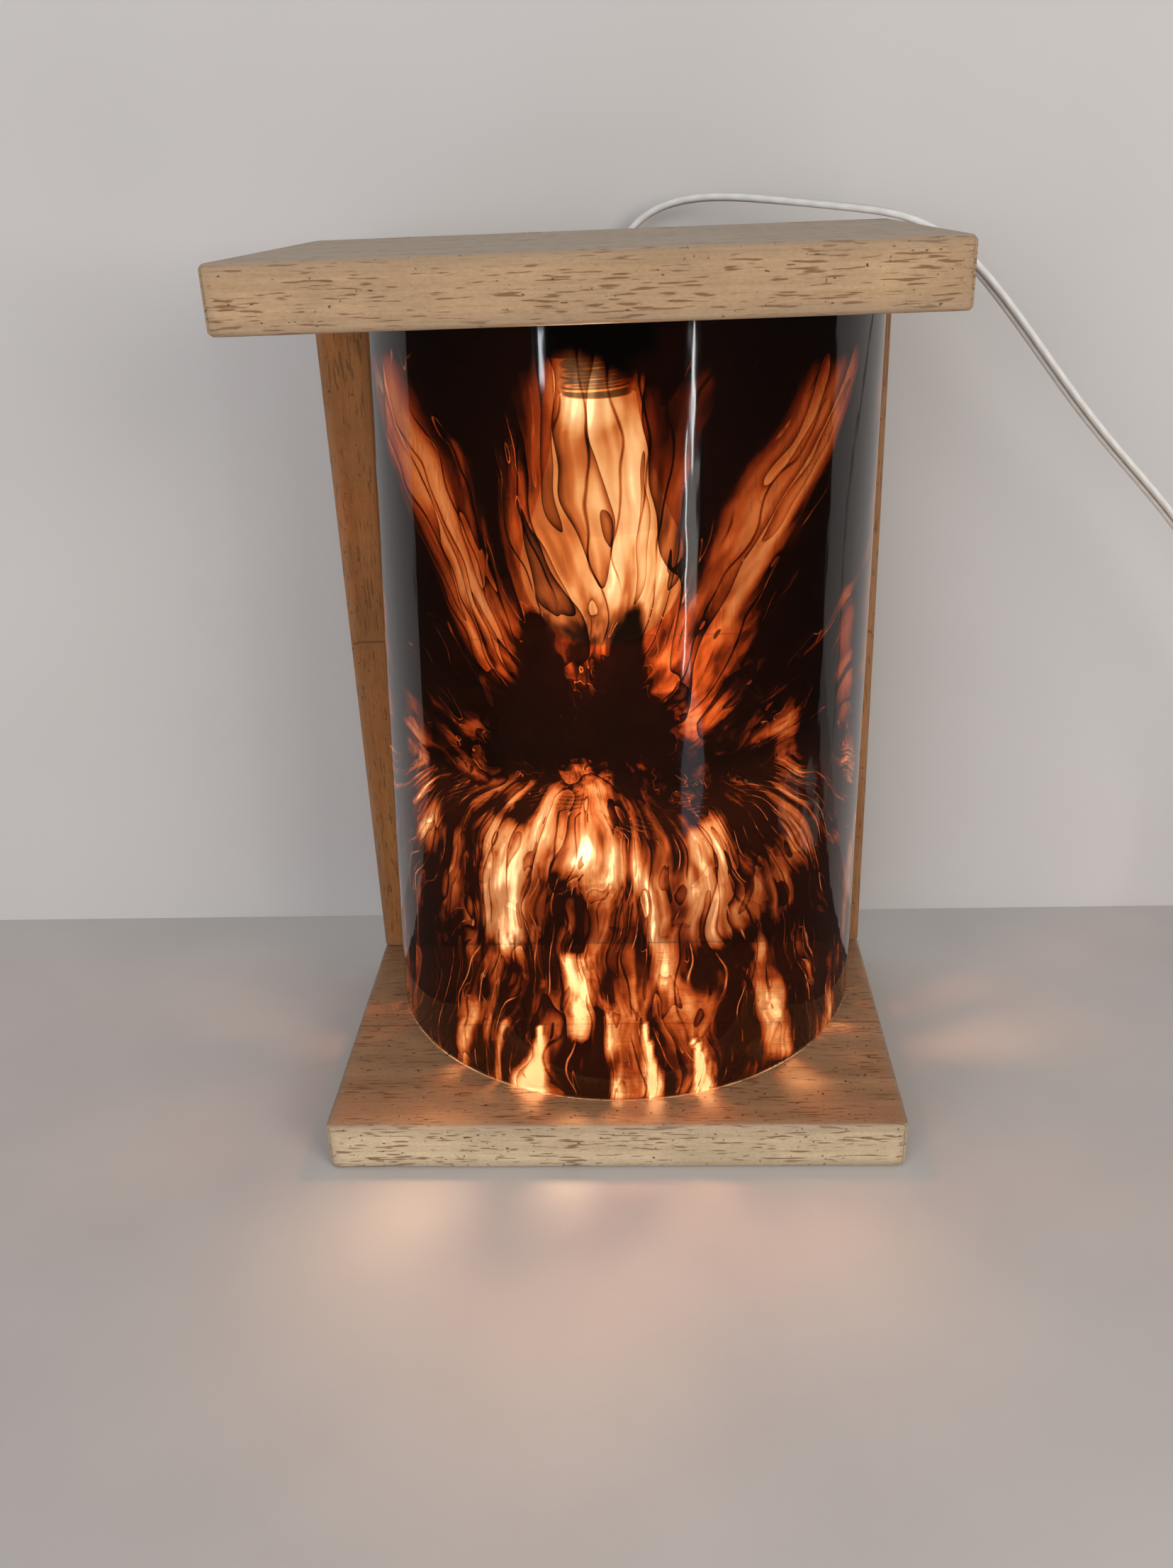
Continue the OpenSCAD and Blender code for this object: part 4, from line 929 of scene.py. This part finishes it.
# Woven loop pile: dull black with a fuzzy, broken sheen
fuzz = {"Sheen Weight": 0.3}
pile = mottled("black loop-pile band, woven", "#17171A", "#2A2A2E", 0.9, 0.85, 0.0, 0.6, fuzz)
low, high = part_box("coil_tie")
low, high = low * 1000, high * 1000
band = []
corners = [
    (low.y + 2, low.z + 2, 180),
    (high.y - 2, low.z + 2, 270),
    (high.y - 2, high.z - 2, 0),
    (low.y + 2, high.z - 2, 90),
]
for y, z, start in corners:
    for k in range(6):
        a = math.radians(start + 18 * k)
        ny, nz = math.cos(a), math.sin(a)
        edge = [(low.x, 1.35), (low.x + 0.3, 1.2), (high.x - 0.3, 1.2), (high.x, 1.35), (high.x, 1.85)]
        edge += [(high.x - 0.3, 2.0), (low.x + 0.3, 2.0), (low.x, 1.85)]
        band.append([(x, y + r * ny, z + r * nz) for x, r in edge])
tie = solid("coil_band", loft(band, True), pile)
fitted(tie, "stand", "black_plastic", "coil_tie")

# Cord switch
# Two shells of moulded white plastic screwed together round the cord, with a rocker on pins between two
# cheeks and a brass contact block at each end.

# ABS, moulded in a polished die: slightly warm white with a soft shine
switch_white = mottled("white ABS, moulded", "#EAE8E2", "#E5E3DC", 5.0, 0.36, 0.0, 0.05)
# ABS, moulded in a grained die: dark grey, with a grain that breaks the shine
rocker_grey = mottled("dark grey ABS, moulded", "#3A3A3C", "#303032", 3.0, 0.4, 0.0, 0.2)
for node, name, finish, width, body, slot in (
    ("switch_base", "switch_lower_shell", switch_white, 0.6, "stand", "white_plastic"),
    ("switch_cover", "switch_upper_shell", switch_white, 0.6, "stand", "white_plastic"),
    ("switch_rocker", "rocker_key", rocker_grey, 0.4, "rocker", "black_plastic"),
    ("switch_contacts", "switch_blocks", brass, 0.2, "stand", "brass"),
):
    eased(node, name, finish, width, 3, slot, body)
case_screw = [(1.2, 0), (2.05, 0), (2.2, 0.3), (2.2, 1.4), (1.2, 1.42), (1.15, 14), (0.2, 15.2)]
screw = cross_screw("case_screw", case_screw, 1.5, 0.55, 0.9)
places = [(308, 32, 0.4), (292, -12, 0.4)]
case_screws = screws_at("case_screws", places, [(0, 0, 0)] * 2, screw, 2)
fitted(case_screws, "stand", "zinc_steel", "switch_screws")

# Plug
# A flat two-pin plug moulded in white vinyl over the cord's end, with a ribbed boot behind it and round pins
# of nickel-plated brass with tapered noses.

# Soft vinyl, moulded: warm white and duller than the switch
plug_white = mottled("white vinyl, moulded over the cord", "#E6E4DE", "#E0DDD6", 6.0, 0.45, 0.0, 0.06)
# Nickel plate on turned brass: pale, slightly warm grey, bright along the pin
nickel = mottled("nickel-plated brass pin, turned", "#C4C1BA", "#B0ADA6", 1.5, 0.24, 1.0, 0.04)
plug_x, plug_z = 370, 6.75


def plug_ring(y, wide, tall, corner):
    ring = []
    for sx, sz, start in ((1, 1, 0), (-1, 1, 90), (-1, -1, 180), (1, -1, 270)):
        for k in range(7):
            a = math.radians(start + 15 * k)
            x = sx * (wide - corner) + corner * math.cos(a)
            z = sz * (tall - corner) + corner * math.sin(a)
            ring.append((plug_x + x, y, plug_z + z))
    return ring


boot_y, rib_pitch, ribs = -30, 4.1, 6
rings = []
for i in range(ribs):
    y, r = boot_y + rib_pitch * i, 3.4 + 2.0 * i / ribs
    for off, less in ((0, 0.25), (0.4, 0), (2.5, 0), (2.9, 0.55), (3.7, 0.6)):
        rings.append(plug_ring(y + off, r - less, r - less, (r - less) * 0.98))
rows = [(-5, 5.6, 5.4, 4.5), (-4.2, 6.0, 6.3, 3.6), (-2, 7.0, 6.7, 3.2)]
for y, wide in ((4, 10.2), (9.4, 12.9), (14, 15.3), (17.3, 16.6), (20, 17), (29, 17)):
    rows.append((y, wide, 6.75, 3.0))
rows += [(30.2, 16.8, 6.55, 2.8), (31, 16.1, 5.85, 2.2)]
rings += [plug_ring(*row) for row in rows]
plug = solid("moulded_plug", loft(rings), plug_white, sharp=50)
fitted(plug, "stand", "white_plastic", "plug_body")
pin = [(1.6, -10), (1.6, -0.02), (2, 0), (2, 17.6), (1.85, 18.1), (1.5, 18.6), (1.0, 19)]
both = ([], [])
for x in (plug_x - 9.5, plug_x + 9.5):
    aim = Matrix.Translation((x, 31, plug_z)) @ Matrix.Rotation(-math.pi / 2, 4, "X")
    verts, faces = turned(pin, 32)
    both[1].extend([tuple(i + len(both[0]) for i in face) for face in faces])
    both[0].extend([tuple(aim @ Vector(v)) for v in verts])
pins = solid("plug_prongs", both, nickel)
fitted(pins, "stand", "cap_metal", "plug_pins")

# Table and wall
# A pale matt table top and a white painted wall close behind the lamp, which takes its shadow at the left.
# The wall shows only to rays from its front, so that the lamp's back can be seen and lit as well.

# Matt laminate: an even pale grey with faint broad patches and no mirror image
table_top, t = new_finish("matt laminate table top")
place = add(t, "TexCoord").outputs["Object"]
patches = add(t, "TexNoise", {"Vector": place, "Scale": 1000 / 60, "Detail": 3.0})
pale = add(t, "ValToRGB", {"Fac": patches}, stops=[(0.3, "#C3BEBA"), (0.7, "#C8C3BF")])
shader = add(t, "BsdfPrincipled", {"Base Color": pale, "Roughness": 0.7, "Specular IOR Level": 0.0})
add(t, "OutputMaterial", {"Surface": shader})


# What the camera sees, straight, mirrored or through the resin
def seen_rays(tree):
    path = add(tree, "LightPath")
    seen = path.outputs["Is Camera Ray"]
    for other in ("Is Glossy Ray", "Is Transmission Ray"):
        seen = add(tree, "Math MAXIMUM", (seen, path.outputs[other]))
    return seen


# Wall paint, rolled: matt off-white with the roller's fine texture
paint, t = new_finish("matt wall paint, rolled")
place = add(t, "TexCoord").outputs["Object"]
roller = add(t, "TexNoise", {"Vector": place, "Scale": 1000 / 4, "Detail": 2.0})
broad = add(t, "TexNoise", {"Vector": place, "Scale": 1000 / 150, "Detail": 2.0})
pale = add(t, "ValToRGB", {"Fac": broad}, stops=[(0.3, "#C6C3C1"), (0.7, "#CAC7C5")])
peel = add(t, "Bump", {"Strength": 0.1, "Distance": 0.0003, "Height": roller})
matt = add(t, "BsdfPrincipled", {"Base Color": pale, "Roughness": 0.85, "Normal": peel})
rear = add(t, "NewGeometry").outputs["Backfacing"]
seen = add(t, "Math SUBTRACT", (seen_rays(t), rear), use_clamp=True)
gone = add(t, "BsdfTransparent")
shader = add(t, "MixShader", (seen, gone, matt))
add(t, "OutputMaterial", {"Surface": shader})


def stage_sheet(name, corners, finish):
    mesh = bpy.data.meshes.new(name)
    mesh.from_pydata(corners, [], [(0, 1, 2, 3)])
    mesh.materials.append(finish)
    flat = put(name, mesh)
    return flat


stage_sheet("table", [(-4, -4, 0), (4, -4, 0), (4, 4, 0), (-4, 4, 0)], table_top)
wall_y = 0.119
stage_sheet("wall", [(-4, wall_y, 0), (4, wall_y, 0), (4, wall_y, 3), (-4, wall_y, 3)], paint)

# Dark cards
# Three dark cards stand round the table, out of view, and one lies on it. The resin mirrors them over most
# of its front, and the pale wall only along its two edges.

# Dyed card: matt dark grey with fine flecks
card_grey, t = new_finish("dark grey card, matt")
place = add(t, "TexCoord").outputs["Object"]
fleck = add(t, "TexNoise", {"Vector": place, "Scale": 1000 / 5, "Detail": 2.0})
dark = add(t, "ValToRGB", {"Fac": fleck}, stops=[(0.3, "#454341"), (0.7, "#4C4A48")])
shader = add(t, "BsdfPrincipled", {"Base Color": dark, "Roughness": 0.9})
add(t, "OutputMaterial", {"Surface": shader})
left, right, near, lie, tall = -0.45, 0.5, -0.75, 0.001, 0.9
for name, corners in (
    ("right_card", [(right, near, lie), (right, 0.078, lie), (right, 0.078, tall), (right, near, tall)]),
    ("left_card", [(left, near, lie), (left, 0.1, lie), (left, 0.1, tall), (left, near, tall)]),
    ("near_card", [(left, near, lie), (right, near, lie), (right, near, tall), (left, near, tall)]),
    ("table_card", [(left, near, lie), (right, near, lie), (right, 0.07, lie), (left, 0.07, lie)]),
):
    card = stage_sheet(name, corners, card_grey)
    card.visible_camera = False
    card.visible_diffuse = False
    card.visible_shadow = False

# Light
# Soft daylight from the right ahead, a fill from the left ahead, an even pale room, five small panes that
# the resin mirrors as upright streaks and a low patch, and the bulb's own warm light, also straight down.
room = bpy.data.worlds.new("pale room")
room.use_nodes = True
room.node_tree.nodes.clear()
t = room.node_tree
even = add(t, "Background", {"Color": linear("#FFFFFF"), "Strength": 0.42})
backdrop = add(t, "Background", {"Color": linear("#CFCCC9"), "Strength": 1.0})
shown = add(t, "MixShader", (seen_rays(t), even, backdrop))
add(t, "OutputWorld", {"Surface": shown})
scene.world = room


def soft_pane(name, place, aim, wide, tall, power, colour):
    lamp = bpy.data.lights.new(name, "AREA")
    lamp.shape = "RECTANGLE"
    lamp.size, lamp.size_y = wide, tall
    lamp.energy = power
    lamp.color = linear(colour)[:3]
    pane = put(name, lamp)
    pane.location = place
    pane.rotation_euler = (Vector(aim) - Vector(place)).to_track_quat("-Z", "Y").to_euler()
    pane.visible_camera = False
    return pane


soft_pane("daylight", (1.2, -1.4, 0.7), (0, 0, 0.15), 1.0, 0.9, 15, "#FFF9F2")
soft_pane("fill", (-0.9, -1.8, 0.7), (0, 0.05, 0.2), 1.4, 1.2, 17, "#F7F9FF")
soft_pane("right streak", (0.214, -0.409, 0.136), (0.03, -0.05, 0.17), 0.0018, 0.15, 0.06, "#FFFFFF")
soft_pane("right streak above", (0.228, -0.402, 0.23), (0.03, -0.05, 0.23), 0.006, 0.085, 0.04, "#FFFFFF")
soft_pane("right band", (0.232, -0.401, 0.147), (0.03, -0.05, 0.17), 0.024, 0.09, 0.018, "#F6F2EA")
soft_pane("left streak", (-0.239, -0.384, 0.266), (-0.015, -0.05, 0.28), 0.014, 0.03, 0.02, "#F4F8FF")
patch = soft_pane("low patch", (0.236, -0.39, 0.004), (0.236, -0.39, 1.0), 0.075, 0.26, 0.05, "#D2DAE6")
patch.rotation_euler = (math.pi, 0, math.radians(32))
patch.data.shape = "ELLIPSE"
for name in ("daylight", "fill"):
    scene.objects[name].visible_glossy = False
for name, kind, power, size, height in (
    ("bulb light", "POINT", 1.6, 0.024, 0.226),
    ("bulb beam", "AREA", 1.08, 0.05, 0.188),
):
    lamp = bpy.data.lights.new(name, kind)
    lamp.energy = power
    lamp.color = linear("#FFE6CE")[:3]
    if kind == "POINT":
        lamp.shadow_soft_size = size
    else:
        lamp.shape = "DISK"
        lamp.size = size
    inside = put(name, lamp)
    inside.location = (0, 0, height)
    inside.visible_camera = False
